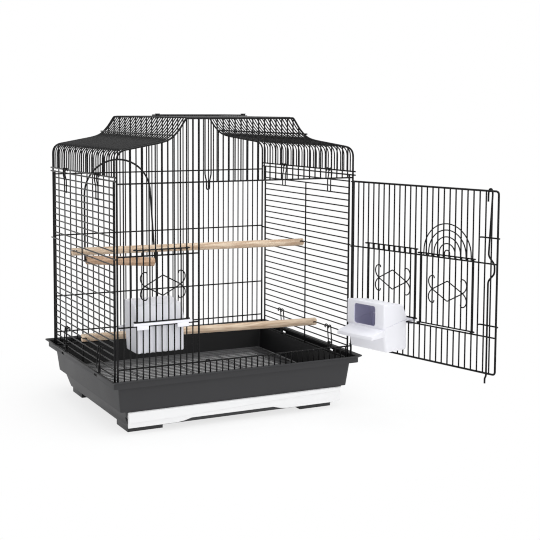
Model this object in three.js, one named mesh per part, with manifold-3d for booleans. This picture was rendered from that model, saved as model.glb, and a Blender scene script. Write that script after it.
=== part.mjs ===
// Bird cage: a plastic tub with a slide-out tray, a floor grille, a cage body of welded wire
// panels under a shaped wire roof, a large front door with a latch rod, three small feeder
// doors, two hooded feeders, two wooden perches, a swing, a carrying handle and eight clips.
// Millimetres, +Z up. X runs along the front, Y from the front to the back.
// The origin is the middle of the underside of the front left foot.
import * as THREE from 'three';
import Module from 'manifold-3d';

const wasm = await Module();
wasm.setup();

// Overall cage body
const cageWidth = 480;
const cageDepth = 378;
const frontIntervals = 40;
const roofIntervals = 32;
const sideIntervals = 29;
const barPitch = cageWidth / frontIntervals;
const roofPitch = cageDepth / roofIntervals;

// Wire sizes: half diagonals of the square section that stands in for each round wire
const barRadius = 1.1;
const railRadius = 1.3;
const edgeRadius = 1.6;
const weldDepth = 0.3;
const passGap = 0.2;
const pieceGap = 0.35;
const weldStep = 4;
const cutOverrun = 2;
const railOffset = barRadius + passGap + railRadius;
const weldedDepth = barRadius + passGap + weldDepth;

// Heights of the front and back rails
const lowerRailHeight = 121.5;
const feederRailHeight = 196.3;
const middleRailHeight = 321.7;
const upperRailHeight = 449.8;

// Heights of the top rails of the side walls and of the roof's lowest rails
const sideTopRailRise = 4.8;
const roofRailRise = 6.8;
const sideTopRailHeight = upperRailHeight + sideTopRailRise;
const roofRailHeight = sideTopRailHeight + roofRailRise;

// Roof outline
const shoulderRise = 29.6;
const shoulderRadius = 19;
const shoulderSteps = 3;
const eaveRise = 12.5;
const scoopRise = 20.5;
const scoopRun = 28.5;
const scoopSteps = 2;
const scoopBulgeShare = 0.2;
const plateauRise = 21;
const plateauRun = 14;
const plateauHalf = 108.5;
const roofLift = 1.1;
const crossRailRise = 4;
const shoulderHeight = roofRailHeight + shoulderRise;
const eaveHeight = shoulderHeight + shoulderRadius + eaveRise;
const scoopTop = eaveHeight + scoopRise;
const plateauHeight = scoopTop + plateauRise;
const scoopEnd = plateauHalf + plateauRun;
const eaveEnd = scoopEnd + scoopRun;

// Tub
const footHeight = 10.1;
const footLength = 68;
const footWidth = 58;
const footInset = 1.5;
const plinthTop = 44;
const plinthTaper = 11;
const plinthFrontTaperShare = 1;
const plinthFloor = 12.6;
const plinthLedge = 9.5;
const wallTaper = 5.5;
const wallTop = 91;
const wallInset = 1;
const bandOut = 11;
const bandTop = 100;
const lipOut = 5.5;
const lipHeight = 105.4;
const lipThickness = 1.6;
const tubWall = 2.5;
const plinthBackStep = 23.5;
const wallTopHalf = cageWidth / 2 - wallInset;
const wallBottomHalf = wallTopHalf - wallTaper;
const plinthTopHalf = wallBottomHalf - plinthLedge;
const plinthBottomHalf = plinthTopHalf - plinthTaper;
const bandHalf = cageWidth / 2 + bandOut;
const lipHalf = bandHalf + lipOut;
const tubSideStep = (cageWidth - cageDepth) / 2 - wallInset * 2;
const cornerRadius = 5;
const cornerSteps = 3;

// Tray that slides out under the grille
const drawerSideInset = 4.5;
const drawerTopInset = 1.4;
const drawerHalfWidth = plinthTopHalf - drawerSideInset;
const drawerTop = plinthTop - drawerTopInset;
const drawerBottom = 13.9;
const drawerFrontThickness = 3;
const drawerFrontStandOff = 0.6;
const drawerSill = 19.4;
const drawerCutHalf = 112;
const drawerCutShift = -12;
const drawerCutRise = 5.5;
const drawerCutRun = 28;
const waveRelief = 1.2;
const waveHeight = 10;
const waveSteps = 8;
const traySideInset = 13.5;
const trayEndInset = 28;
const trayHalfWidth = drawerHalfWidth - traySideInset;
const trayDepth = cageDepth - trayEndInset;
const trayHeight = 21;
const trayWall = 1.8;

// Floor grille
const grilleIntervals = 30;
const grilleMargin = 2.2;
const grilleRailShares = [-0.5, 0, 0.5];
const grilleRailSpan = 220;
const grilleCorner = 7;

// Front opening and the bars that end at it
const openingBar = 13;
const keeperBar = 14;
const keeperBendHeight = 463;
const keeperTipHeight = 436.5;
const keeperNeckHeight = 451;
const keeperHalf = 3;
const keeperLowerTop = 125.2;
const keeperLowerShoulder = 120;
const keeperLowerHalf = 5;

// Side panels
const sideShift = 0.6;
const sideEdgeInset = 14;
const sideRailOut = 3.2;
const sideRailReach = 3.4;
const sideThickBar = 18;
const sideUprightShift = 10;

// Feeder openings and their small sliding doors
const feederBarFirst = 3;
const feederBars = 8;
const feederDoorHeight = 128.3;
const feederDoorOut = 2.8;
const feederDoorEndReach = 4.6;
const feederHookDepth = 2.7;
const feederHookReturn = 5;
const ornamentRadius = 0.9;
const ornamentHalfWidth = 34.5;
const ornamentHalfHeight = 18.3;
const ornamentHeightShare = 0.5;
const scrollSize = 24;
const scrollOutlineShares = [
  [0.12, 0.68], [-0.06, 1], [-0.36, 0.82], [-0.44, 0.5], [-0.3, 0.2], [0, 0],
];

// Main door
const doorIntervals = 26;
const doorBarPitch = 12.98;
const doorFirstBar = -2.5;
const doorBottom = 125.5;
const doorTop = 442.3;
const doorMiddle = 317.5;
const doorFeederRail = 190;
const doorCorner = 4;
const doorOpenAngle = 104.3;
const doorFeederFirst = 3;
const doorFeederBars = 9;
const doorFeederShift = 1;
const doorEmptyFirst = 13;
const doorEmptyBars = 9;
const hingeEyeWire = 1;
const hingeEyeRadius = edgeRadius + pieceGap + hingeEyeWire;
const hingeEyeFromAngle = -90;
const hingeEyeTurn = 300;
const hingeEyeSteps = 6;
const hingeEyeHeights = [doorBottom, doorMiddle, doorTop];
const sunburstBar = 17.8;
const sunburstRadii = [5.8, 17.6, 29.6, 41.8, 53];
const sunburstLeg = 8.5;
const sunburstTurn = 180;
const sunburstSteps = 6;

// Latch rod on the main door
const rodRadius = 1.6;
const rodPlace = 314;
const rodLean = 6;
const rodTop = 446.5;
const rodHookWidth = 9;
const rodHookRise = 7;
const rodHookDrop = 23;
const rodHandleTop = 329;
const rodHandleBottom = 286;
const rodHandleBulge = 13;
const rodHandleBendShare = 0.333;
const rodJogTop = 131;
const rodJogBottom = 120;
const rodJog = 3.5;
const rodTip = 107.5;
const rodGuideHeights = [361, 208];
const rodGuideBar = 23;

// Feeders: a cup under a hood, hung over the feeder rail
const feederWidth = 92;
const feederWall = 1.8;
const feederStandOff = 4.8;
const cupDrop = 50.5;
const cupBottomDepth = 56;
const cupRimDepth = 65;
const seamFront = -5.5;
const seamBack = 6.2;
const hoodTop = 40;
const hoodBackTop = 34;
const hoodBackLean = 13;
const windowWidth = 54;
const windowHeight = 38;
const windowBottom = -4;
const windowShift = 1;
const guardReach = 31;
const guardDrop = 8;
const guardThickness = 1.8;
const guardInset = 6;
const flangeThickness = 2.2;
const flangeWidth = 88;
const ledgeWidth = 113;
const ledgeHeight = 4.4;
const ledgeDepth = 4.5;
const ledgeRise = 1.9;
const tabWidth = 22;
const tabDrop = 9;
const tabThickness = 1.8;
const tabInset = 7;

// Perches
const perchRadius = 7.5;
const perchSides = 12;
const perchReach = 3.4;
const perchSlot = 3;
const perchSlotDepth = 9;
const upperPerchBar = 17;
const upperPerchLeft = 56;
const upperPerchRight = 12;
const upperPerchDrop = 2.5;
const lowerPerchBar = 4;
const lowerPerchLeft = 0;
const lowerPerchRight = -45;

// Swing
const swingPlace = -139.5;
const swingRoofWire = 7;
const swingHalf = 69.4;
const swingSplay = 10;
const swingDrop = 12.7;
const swingTop = 480;
const swingLegTop = 412;
const swingPerchHeight = 276.4;
const swingWireRadius = 1.4;
const swingEyeRadius = 3.3;
const swingEyeDrop = 0.4;
const swingEyeFrom = 200;
const swingEyeTurn = 290;
const swingSteps = 8;
const swingPerchRadius = 9;
const swingPinDepth = 6;
const swingPerchEndGap = 1.6;

// Carrying handle and its brackets
const handleHalf = 92;
const handleRadius = 1.5;
const handleReach = 58;
const handleRoofWire = -1;
const handlePinReach = 4;
const bracketWidth = 6;
const bracketLength = 26;
const bracketThickness = 1.2;
const bracketPost = 2.4;
const bracketHeight = 4.6;
const bracketTopLength = 8;

// Clips
const clipRadius = 1.1;
const clipSteps = 4;
const clipTurn = 250;
const topClipWire = 8;
const topClipBottom = 417;
const topClipStraight = 451;
const topClipBend = 440;
const bottomClipPlace = 100;
const bottomClipHalf = 6.5;
const bottomClipBar = 4;
const bottomClipOut = 6;
const bottomClipHeight = 108.2;
const lugHalf = 4;
const lugInner = 1.6;
const lugThickness = 2.6;
const lugNose = 2.6;
const lugNoseGap = 1.3;
const lugNoseHeight = 2.4;
const notchWidth = 15;
const notchHeight = 4;

// Colours
const blackWire = { color: 0x16161a, roughness: 0.35, metalness: 0.6 };
const blackPlastic = { color: 0x3a3a3c, roughness: 0.55, metalness: 0 };
const whitePlastic = { color: 0xf1f1f4, roughness: 0.4, metalness: 0 };
const paleWood = { color: 0xd9b98c, roughness: 0.7, metalness: 0 };
const brownWood = { color: 0xb98d68, roughness: 0.7, metalness: 0 };

const halfWidth = cageWidth / 2;
const halfDepth = cageDepth / 2;
const axisX = new THREE.Vector3(1, 0, 0);
const axisY = new THREE.Vector3(0, 1, 0);
const axisZ = new THREE.Vector3(0, 0, 1);
const squareSection = [[1, 0], [0, 1], [-1, 0], [0, -1]];
const cos30 = Math.cos(Math.PI / 6);
const sin30 = Math.sin(Math.PI / 6);
const ridgeSection = [[0, -1], [cos30, sin30], [-cos30, sin30]];

const point = (x, y, z) => new THREE.Vector3(x, y, z);

// Makes a closed solid from points and triangles, turned so that its faces point out.
function solid(points, triangles) {
  let volume = 0;
  for (const [a, b, c] of triangles) {
    volume += points[a].dot(new THREE.Vector3().crossVectors(points[b], points[c]));
  }
  const faces = volume < 0 ? triangles.map(([a, b, c]) => [a, c, b]) : triangles;
  return new wasm.Manifold(new wasm.Mesh({
    numProp: 3,
    vertProperties: new Float32Array(points.flatMap((p) => [p.x, p.y, p.z])),
    triVerts: new Uint32Array(faces.flat()),
  }));
}

// Adds bodies together in pairs, then the pairs, until one is left.
function join(parts) {
  let bodies = parts.flat(2);
  while (bodies.length > 1) {
    const pairs = [];
    for (let i = 0; i < bodies.length; i += 2) {
      pairs.push(i + 1 < bodies.length ? bodies[i].add(bodies[i + 1]) : bodies[i]);
    }
    bodies = pairs;
  }
  return bodies[0];
}

const cut = (body, tools) => body.subtract(join(tools));

// Joins rings of equal length into one skin and caps both ends, or runs round in a loop.
function skin(rings, closed = false) {
  const count = rings[0].length;
  const triangles = [];
  const last = closed ? rings.length : rings.length - 1;
  for (let i = 0; i < last; i += 1) {
    const low = i * count;
    const high = ((i + 1) % rings.length) * count;
    for (let j = 0; j < count; j += 1) {
      const k = (j + 1) % count;
      triangles.push([low + j, low + k, high + k], [low + j, high + k, high + j]);
    }
  }
  if (!closed) {
    const end = (rings.length - 1) * count;
    for (let j = 1; j < count - 1; j += 1) {
      triangles.push([0, j + 1, j], [end, end + j, end + j + 1]);
    }
  }
  return solid(rings.flat(), triangles);
}

// A wire that follows points lying in one plane, whose normal is given.
function wire(points, normal, radius, options = {}) {
  const { depth = radius, closed = false, section = squareSection } = options;
  const count = points.length;
  const rings = points.map((here, i) => {
    const before = closed || i > 0 ? points[(i + count - 1) % count] : null;
    const after = closed || i < count - 1 ? points[(i + 1) % count] : null;
    const inward = before ? here.clone().sub(before).normalize() : after.clone().sub(here).normalize();
    const outward = after ? after.clone().sub(here).normalize() : inward;
    const along = inward.clone().add(outward).normalize();
    const side = new THREE.Vector3().crossVectors(along, normal).normalize();
    const stretch = 1 / along.dot(inward);
    return section.map(([a, b]) => here.clone()
      .addScaledVector(normal, a * depth)
      .addScaledVector(side, b * radius * stretch));
  });
  return skin(rings, closed);
}

// A block between two opposite corners.
function block(x0, x1, y0, y1, z0, z1) {
  const ring = (z) => [point(x0, y0, z), point(x1, y0, z), point(x1, y1, z), point(x0, y1, z)];
  return skin([ring(z0), ring(z1)]);
}

// An outline in the plane of two axes, pushed along the third by a length each way.
function plate(outline, across, up, from, to) {
  const out = new THREE.Vector3().crossVectors(across, up);
  const flat = outline.map(([a, b]) => new THREE.Vector2(a, b));
  const faces = THREE.ShapeUtils.triangulateShape(flat, []);
  const count = outline.length;
  const place = (level) => flat.map((p) => point(0, 0, 0)
    .addScaledVector(across, p.x).addScaledVector(up, p.y).addScaledVector(out, level));
  const triangles = [];
  for (const [a, b, c] of faces) {
    triangles.push([a, c, b], [a + count, b + count, c + count]);
  }
  const turn = THREE.ShapeUtils.isClockWise(flat) ? -1 : 1;
  for (let i = 0; i < count; i += 1) {
    const k = (i + 1) % count;
    if (turn > 0) triangles.push([i, k, k + count], [i, k + count, i + count]);
    else triangles.push([i, k + count, k], [i, i + count, k + count]);
  }
  return solid([...place(from), ...place(to)], triangles);
}

// A round rod between two points.
function rod(start, end, radius, sides) {
  const along = end.clone().sub(start).normalize();
  const up = Math.abs(along.z) > cos30 ? axisX : axisZ;
  const side = new THREE.Vector3().crossVectors(along, up).normalize();
  const top = new THREE.Vector3().crossVectors(side, along);
  const ring = (centre) => Array.from({ length: sides }, (_, i) => {
    const angle = ((i + 0.5) / sides) * 2 * Math.PI;
    return centre.clone()
      .addScaledVector(side, radius * Math.cos(angle))
      .addScaledVector(top, radius * Math.sin(angle));
  });
  return skin([ring(start), ring(end)]);
}

// A rounded rectangle at one height.
function roundedRing(halfX, halfY, z, radius) {
  const ring = [];
  for (let corner = 0; corner < 4; corner += 1) {
    const signX = corner === 0 || corner === 3 ? 1 : -1;
    const signY = corner < 2 ? 1 : -1;
    for (let step = 0; step <= cornerSteps; step += 1) {
      const angle = (corner + step / cornerSteps) * (Math.PI / 2);
      ring.push(point(
        signX * (halfX - radius) + radius * Math.cos(angle),
        signY * (halfY - radius) + radius * Math.sin(angle),
        z,
      ));
    }
  }
  return ring;
}

// Points of an arc in the plane of two axes.
function arc(centre, across, up, radius, from, to, steps) {
  return Array.from({ length: steps + 1 }, (_, i) => {
    const angle = THREE.MathUtils.degToRad(from + ((to - from) * i) / steps);
    return centre.clone()
      .addScaledVector(across, radius * Math.cos(angle))
      .addScaledVector(up, radius * Math.sin(angle));
  });
}

// The roof outline from the right corner post over the top to the left one, as X and Z pairs.
function roofOutline(lift) {
  const half = [[halfWidth + lift, roofRailHeight - railRadius]];
  const centre = halfWidth - shoulderRadius;
  const reach = shoulderRadius + lift;
  for (let i = 0; i <= shoulderSteps; i += 1) {
    const angle = (i / shoulderSteps) * (Math.PI / 2);
    half.push([centre + reach * Math.cos(angle), shoulderHeight + reach * Math.sin(angle)]);
  }
  const eaveTop = eaveHeight + lift;
  half.push([eaveEnd, eaveTop]);
  for (let i = 1; i < scoopSteps; i += 1) {
    const share = i / scoopSteps;
    const bulge = scoopBulgeShare * Math.sin(share * Math.PI) * scoopRise;
    half.push([eaveEnd - share * scoopRun, eaveTop + share * scoopRise - bulge]);
  }
  half.push([scoopEnd, scoopTop + lift]);
  half.push([plateauHalf, plateauHeight + lift]);
  return [...half, ...half.map(([x, z]) => [-x, z]).reverse()];
}

// Height of the roof outline above a place along the front.
function roofHeight(x, lift = 0) {
  const outline = roofOutline(lift);
  for (let i = 1; i < outline.length; i += 1) {
    const [x0, z0] = outline[i - 1];
    const [x1, z1] = outline[i];
    if (x <= x0 && x >= x1 && x0 !== x1) return z0 + ((x0 - x) / (x0 - x1)) * (z1 - z0);
  }
  return plateauHeight + lift;
}

// Tub heights that other pieces sit on
const grooveFloor = wallTop + tubWall;
const bottomRailHeight = grooveFloor + pieceGap + edgeRadius;
const ledgeTop = plinthTop + tubWall;
const sidePitch = (sideTopRailHeight - bottomRailHeight) / sideIntervals;
const sideBarHeight = (index) => bottomRailHeight + index * sidePitch;
const frontBarPlace = (index) => index * barPitch - halfWidth;
const roofWirePlace = (index) => index * roofPitch;

// Hinge line of the main door, at the front right post
const hinge = point(halfWidth, -halfDepth, 0);
const doorRailDepth = -edgeRadius - pieceGap - railRadius;
const doorBarDepth = doorRailDepth - railOffset;
const doorPlace = (index) => doorFirstBar + index * doorBarPitch;
const doorEnd = doorPlace(doorIntervals);
const rodDepth = doorBarDepth - weldedDepth - pieceGap - rodRadius;

// Tub: one moulding, a stepped shell with a channel for the cage and a lip round it
function baseTub() {
  const halfY = (halfX) => halfX - tubSideStep;
  const deep = (halfX) => wallBottomHalf - tubSideStep - (plinthTopHalf - halfX) * plinthFrontTaperShare;
  const ring = (halfX, z, inset = 0) => roundedRing(
    halfX - inset, halfY(halfX) - inset, z, cornerRadius - inset,
  );
  const plinth = (halfX, z, inset = 0) => roundedRing(
    halfX - inset, deep(halfX) - inset, z, cornerRadius - inset,
  );
  const body = skin([
    plinth(plinthBottomHalf, footHeight),
    plinth(plinthTopHalf, plinthTop),
    ring(wallBottomHalf, plinthTop),
    ring(wallTopHalf, wallTop),
    ring(bandHalf, wallTop),
    ring(bandHalf, bandTop),
    ring(lipHalf, lipHeight - lipThickness),
    ring(lipHalf, lipHeight),
    ring(bandHalf, bandTop + tubWall, tubWall),
    ring(bandHalf, grooveFloor, tubWall),
    ring(wallTopHalf, grooveFloor, tubWall),
    ring(wallBottomHalf, ledgeTop, tubWall),
    plinth(plinthTopHalf, ledgeTop, tubWall),
    plinth(plinthBottomHalf, plinthFloor, tubWall),
  ]);
  const frontFace = deep(plinthTopHalf);
  const opening = block(
    -drawerHalfWidth - pieceGap, drawerHalfWidth + pieceGap,
    -frontFace - cutOverrun, -deep(plinthBottomHalf) + tubWall + cutOverrun,
    drawerSill, drawerTop + pieceGap,
  );
  const feet = [];
  const lugs = [];
  const notches = [];
  const footX = plinthBottomHalf - footInset - footLength / 2;
  const footY = deep(plinthBottomHalf) - plinthBackStep / 2 - footInset - footWidth / 2;
  for (const sx of [-1, 1]) {
    for (const sy of [-1, 1]) {
      feet.push(block(
        sx * footX - footLength / 2, sx * footX + footLength / 2,
        sy * footY - footWidth / 2, sy * footY + footWidth / 2,
        0, footHeight + (plinthFloor - footHeight) / 2,
      ));
      const y = sy * bottomClipPlace;
      const inner = halfWidth + lugInner + sideShift;
      const outer = inner + lugThickness;
      const span = (a, b) => (sx > 0 ? [a, b] : [-b, -a]);
      const noseBottom = bottomClipHeight + clipRadius + lugNoseGap;
      lugs.push(block(
        ...span(inner, outer), y - lugHalf, y + lugHalf,
        grooveFloor - tubWall / 2, noseBottom + lugNoseHeight,
      ));
      lugs.push(block(
        ...span(inner, outer + lugNose), y - lugHalf, y + lugHalf,
        noseBottom, noseBottom + lugNoseHeight,
      ));
      notches.push(block(
        ...span(bandHalf - tubWall - cutOverrun, bandHalf + cutOverrun),
        y - notchWidth / 2, y + notchWidth / 2,
        grooveFloor + pieceGap, grooveFloor + pieceGap + notchHeight,
      ));
    }
  }
  return join([cut(body, [opening, notches]), feet, lugs]);
}
const plinthFrontFace = wallBottomHalf - tubSideStep;
const footCentreX = plinthBottomHalf - footInset - footLength / 2;
const footCentreY = plinthFrontFace - plinthTaper * plinthFrontTaperShare
  - plinthBackStep / 2 - footInset - footWidth / 2;

// Tray front: a white plate with a raised wave and a shallow hollow in its lower edge
function drawerFront() {
  const face = -plinthFrontFace - drawerFrontStandOff;
  const left = drawerCutShift - drawerCutHalf;
  const right = drawerCutShift + drawerCutHalf;
  const outline = [
    [-drawerHalfWidth, drawerTop], [-drawerHalfWidth, drawerBottom],
    [left, drawerBottom], [left + drawerCutRun, drawerBottom + drawerCutRise],
    [right - drawerCutRun, drawerBottom + drawerCutRise], [right, drawerBottom],
    [drawerHalfWidth, drawerBottom], [drawerHalfWidth, drawerTop],
  ];
  const back = face + drawerFrontThickness;
  const body = plate(outline, axisX, axisZ, -back, -face);
  const wave = Array.from({ length: waveSteps + 1 }, (_, i) => {
    const share = i / waveSteps;
    const middle = (drawerTop + drawerBottom) / 2;
    const swing = Math.cos(share * Math.PI) * waveHeight;
    return [drawerHalfWidth * share * 2 - drawerHalfWidth, middle - swing / 2 + waveRelief];
  });
  const relief = plate(
    [...wave, [drawerHalfWidth, drawerTop], [-drawerHalfWidth, drawerTop]],
    axisX, axisZ, -face - waveRelief / 2, -face + waveRelief,
  );
  return join([body, relief]);
}

// Tray: an open box behind the front plate
function drawerTray() {
  const front = -plinthFrontFace - drawerFrontStandOff + drawerFrontThickness + pieceGap;
  const bottom = drawerSill + pieceGap;
  const outer = block(
    -trayHalfWidth, trayHalfWidth, front, front + trayDepth, bottom, bottom + trayHeight,
  );
  const inner = block(
    trayWall - trayHalfWidth, trayHalfWidth - trayWall,
    front + trayWall, front + trayDepth - trayWall,
    bottom + trayWall, bottom + trayHeight + cutOverrun,
  );
  return cut(outer, [inner]);
}

// Floor grille: fine wires across the tub in a frame, over three cross rails
function floorGrille() {
  const z = ledgeTop + pieceGap + edgeRadius;
  const spanX = wallBottomHalf - tubWall - grilleMargin - edgeRadius;
  const spanY = wallBottomHalf - tubSideStep - tubWall - grilleMargin - edgeRadius;
  const frame = wire([
    point(grilleCorner - spanX, -spanY, z), point(spanX - grilleCorner, -spanY, z),
    point(spanX, grilleCorner - spanY, z), point(spanX, spanY - grilleCorner, z),
    point(spanX - grilleCorner, spanY, z), point(grilleCorner - spanX, spanY, z),
    point(-spanX, spanY - grilleCorner, z), point(-spanX, grilleCorner - spanY, z),
  ], axisZ, edgeRadius, { closed: true });
  const wires = [];
  for (let i = 1; i < grilleIntervals; i += 1) {
    const y = -spanY + (2 * spanY * i) / grilleIntervals;
    const depth = i % weldStep === 0 ? weldedDepth : barRadius;
    wires.push(wire([point(-spanX, y, z), point(spanX, y, z)], axisZ, barRadius, { depth }));
  }
  const rails = grilleRailShares.map((share) => wire([
    point(share * grilleRailSpan, -spanY, z - railOffset),
    point(share * grilleRailSpan, spanY, z - railOffset),
  ], axisZ, railRadius));
  return join([frame, wires, rails]);
}

// An upright bar of a wall that stands in a plane across Y.
function uprightBar(x, y, from, to, depth = barRadius) {
  return wire([point(x, y, from), point(x, y, to)], axisY, barRadius, { depth });
}

// Edge wire of the front and back walls, round the posts, the roof outline and the foot
function wallEdge(y) {
  const top = roofOutline(0).map(([x, z]) => point(x, y, z));
  return wire([
    point(halfWidth, y, bottomRailHeight), ...top.slice(1, -1), point(-halfWidth, y, bottomRailHeight),
  ], axisY, edgeRadius, { closed: true });
}

const barDepth = (index) => (index % weldStep === 0 ? weldedDepth : barRadius);

// Front wall: bars, rails, the door opening, the feeder opening and the two latch keepers
function frontPanel() {
  const y = -halfDepth;
  const railY = y + railOffset;
  const parts = [wallEdge(y)];
  const bar = (index, from, to) => parts.push(
    uprightBar(frontBarPlace(index), y, from, to, barDepth(index)),
  );
  for (let i = 1; i < frontIntervals; i += 1) {
    const top = roofHeight(frontBarPlace(i));
    const inFeeder = i > feederBarFirst && i < feederBarFirst + feederBars;
    if (i === openingBar) {
      parts.push(wire([
        point(frontBarPlace(i), y, bottomRailHeight), point(frontBarPlace(i), y, top),
      ], axisY, edgeRadius));
    } else if (i < openingBar && !inFeeder) {
      bar(i, bottomRailHeight, top);
    } else if (inFeeder) {
      bar(i, bottomRailHeight, feederRailHeight + railRadius);
      bar(i, middleRailHeight - railRadius, top);
    } else if (i > keeperBar + 1) {
      bar(i, bottomRailHeight, lowerRailHeight + railRadius);
      bar(i, upperRailHeight - railRadius, top);
    }
  }
  const first = frontBarPlace(keeperBar);
  const second = frontBarPlace(keeperBar + 1);
  const middle = (first + second) / 2;
  const loop = (pairs) => parts.push(wire(pairs.map(([x, z]) => point(x, y, z)), axisY, barRadius));
  loop([
    [first, roofHeight(first)], [first, keeperBendHeight], [middle - keeperHalf, keeperNeckHeight],
    [middle - keeperHalf, keeperTipHeight], [middle + keeperHalf, keeperTipHeight],
    [middle + keeperHalf, keeperNeckHeight], [second, keeperBendHeight], [second, roofHeight(second)],
  ]);
  loop([
    [middle - keeperLowerHalf, bottomRailHeight], [middle - keeperLowerHalf, keeperLowerShoulder],
    [middle - keeperHalf, keeperLowerTop], [middle + keeperHalf, keeperLowerTop],
    [middle + keeperLowerHalf, keeperLowerShoulder], [middle + keeperLowerHalf, bottomRailHeight],
  ]);
  const rail = (z, to) => wire([point(-halfWidth, railY, z), point(to, railY, z)], axisY, railRadius);
  const openingEdge = frontBarPlace(openingBar) + railRadius;
  parts.push(rail(lowerRailHeight, halfWidth), rail(upperRailHeight, halfWidth));
  parts.push(rail(feederRailHeight, openingEdge), rail(middleRailHeight, openingEdge));
  return join(parts);
}

// Back wall: plain bars and four rails
function backPanel() {
  const y = halfDepth;
  const parts = [wallEdge(y)];
  for (let i = 1; i < frontIntervals; i += 1) {
    const x = frontBarPlace(i);
    parts.push(uprightBar(x, y, bottomRailHeight, roofHeight(x), barDepth(i)));
  }
  for (const z of [lowerRailHeight, feederRailHeight, middleRailHeight, upperRailHeight]) {
    parts.push(wire([
      point(-halfWidth, y - railOffset, z), point(halfWidth, y - railOffset, z),
    ], axisY, railRadius));
  }
  return join(parts);
}

// Side wall: level bars between two posts, a middle post inside and two rails outside
function sidePanel(side) {
  const x = side * (halfWidth + sideShift);
  const edgeY = halfDepth - sideEdgeInset;
  const parts = [];
  for (const y of [-edgeY, edgeY]) {
    parts.push(wire([
      point(x, y, bottomRailHeight - railRadius), point(x, y, sideTopRailHeight + railRadius),
    ], axisX, edgeRadius));
  }
  for (let i = 0; i < sideIntervals; i += 1) {
    if (i !== sideThickBar) {
      const z = sideBarHeight(i);
      parts.push(wire([point(x, -edgeY, z), point(x, edgeY, z)], axisX, barRadius, { depth: barDepth(i) }));
    }
  }
  const middleX = x - side * railOffset;
  const middleY = -side * sideUprightShift;
  parts.push(wire([
    point(middleX, middleY, bottomRailHeight - railRadius),
    point(middleX, middleY, sideBarHeight(sideIntervals - 2)),
  ], axisX, railRadius));
  const railX = side * (halfWidth + sideRailOut);
  for (const z of [sideBarHeight(sideThickBar), sideTopRailHeight]) {
    const byHinge = side > 0 && z < sideTopRailHeight;
    const front = byHinge ? edgeY + edgeRadius : halfDepth + sideRailReach;
    parts.push(wire([
      point(railX, -front, z), point(railX, halfDepth + sideRailReach, z),
    ], axisX, railRadius));
  }
  return join(parts);
}

// Roof: wires that follow the outline from side to side, over four rails
const valleyIndex = shoulderSteps + 3;
function roofPanel() {
  const parts = [];
  const outline = roofOutline(roofLift);
  const last = roofIntervals / 2 - 1;
  for (let i = -last; i <= last; i += 1) {
    const y = roofWirePlace(i);
    const thickness = barDepth(i);
    parts.push(wire(outline.map(([x, z]) => point(x, y, z)), axisY, thickness, {
      depth: barRadius, section: ridgeSection,
    }));
  }
  const railSpan = halfDepth + sideRailReach;
  for (const side of [-1, 1]) {
    const lowX = side * (halfWidth + sideRailOut);
    parts.push(wire([
      point(lowX, -railSpan, roofRailHeight), point(lowX, railSpan, roofRailHeight),
    ], axisX, railRadius));
    const [valleyX, valleyZ] = outline[valleyIndex];
    const [browX, browZ] = outline[valleyIndex + 1];
    const rise = new THREE.Vector2(valleyX - browX, browZ - valleyZ).normalize();
    const x = side * (valleyX - rise.x * crossRailRise + rise.y * railOffset);
    const z = valleyZ + rise.y * crossRailRise + rise.x * railOffset;
    const normal = point(side * rise.y, 0, rise.x);
    parts.push(wire([point(x, -railSpan, z), point(x, railSpan, z)], normal, railRadius));
  }
  return join(parts);
}

// Points along a hook that wraps a round bar, in the plane of two axes.
function hook(centre, across, up, radius, from, turn, steps) {
  return arc(centre, across, up, radius, from, from + turn, steps);
}

// A diamond with a double scroll at each side, in the plane across the given normal.
function ornament(centre, across, normal) {
  const up = axisZ;
  const at = (a, b) => centre.clone().addScaledVector(across, a).addScaledVector(up, b);
  const diamond = wire([
    at(-ornamentHalfWidth, 0), at(0, ornamentHalfHeight), at(ornamentHalfWidth, 0),
    at(0, -ornamentHalfHeight),
  ], normal, ornamentRadius, { closed: true, section: ridgeSection });
  const scrolls = [-1, 1].map((side) => {
    const upper = scrollOutlineShares.map(([a, b]) => at(
      side * (ornamentHalfWidth - a * scrollSize), b * scrollSize,
    ));
    const lower = scrollOutlineShares.slice(0, -1).reverse().map(([a, b]) => at(
      side * (ornamentHalfWidth - a * scrollSize), -b * scrollSize,
    ));
    return wire([...upper, ...lower], normal, ornamentRadius);
  });
  return [diamond, scrolls];
}

// Small sliding door over a feeder opening: bars between two rails whose ends hook round the
// bars beside the opening. Out is the way from the wall to the outside.
function feederDoor(pitch, bars, bottom) {
  const parts = [];
  const half = (bars * pitch) / 2;
  const out = -feederDoorOut;
  const top = bottom + feederDoorHeight;
  const end = half + feederDoorEndReach;
  for (let i = 0; i <= bars; i += 1) {
    const x = i * pitch - half;
    const middle = x >= 0 && x < pitch;
    parts.push(wire([point(x, out, bottom), point(x, out, top)], axisY, barRadius, {
      depth: middle ? weldedDepth : barRadius,
    }));
  }
  for (const z of [bottom, top]) {
    parts.push(wire([
      point(-end + feederHookReturn, feederHookDepth, z), point(-end, feederHookDepth, z),
      point(-end, out, z), point(end, out, z),
      point(end, feederHookDepth, z), point(end - feederHookReturn, feederHookDepth, z),
    ], axisZ, barRadius));
  }
  const middle = point(0, out - barRadius - passGap - ornamentRadius,
    bottom + feederDoorHeight * ornamentHeightShare);
  parts.push(ornament(middle, axisX, axisY));
  return join(parts);
}

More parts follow.
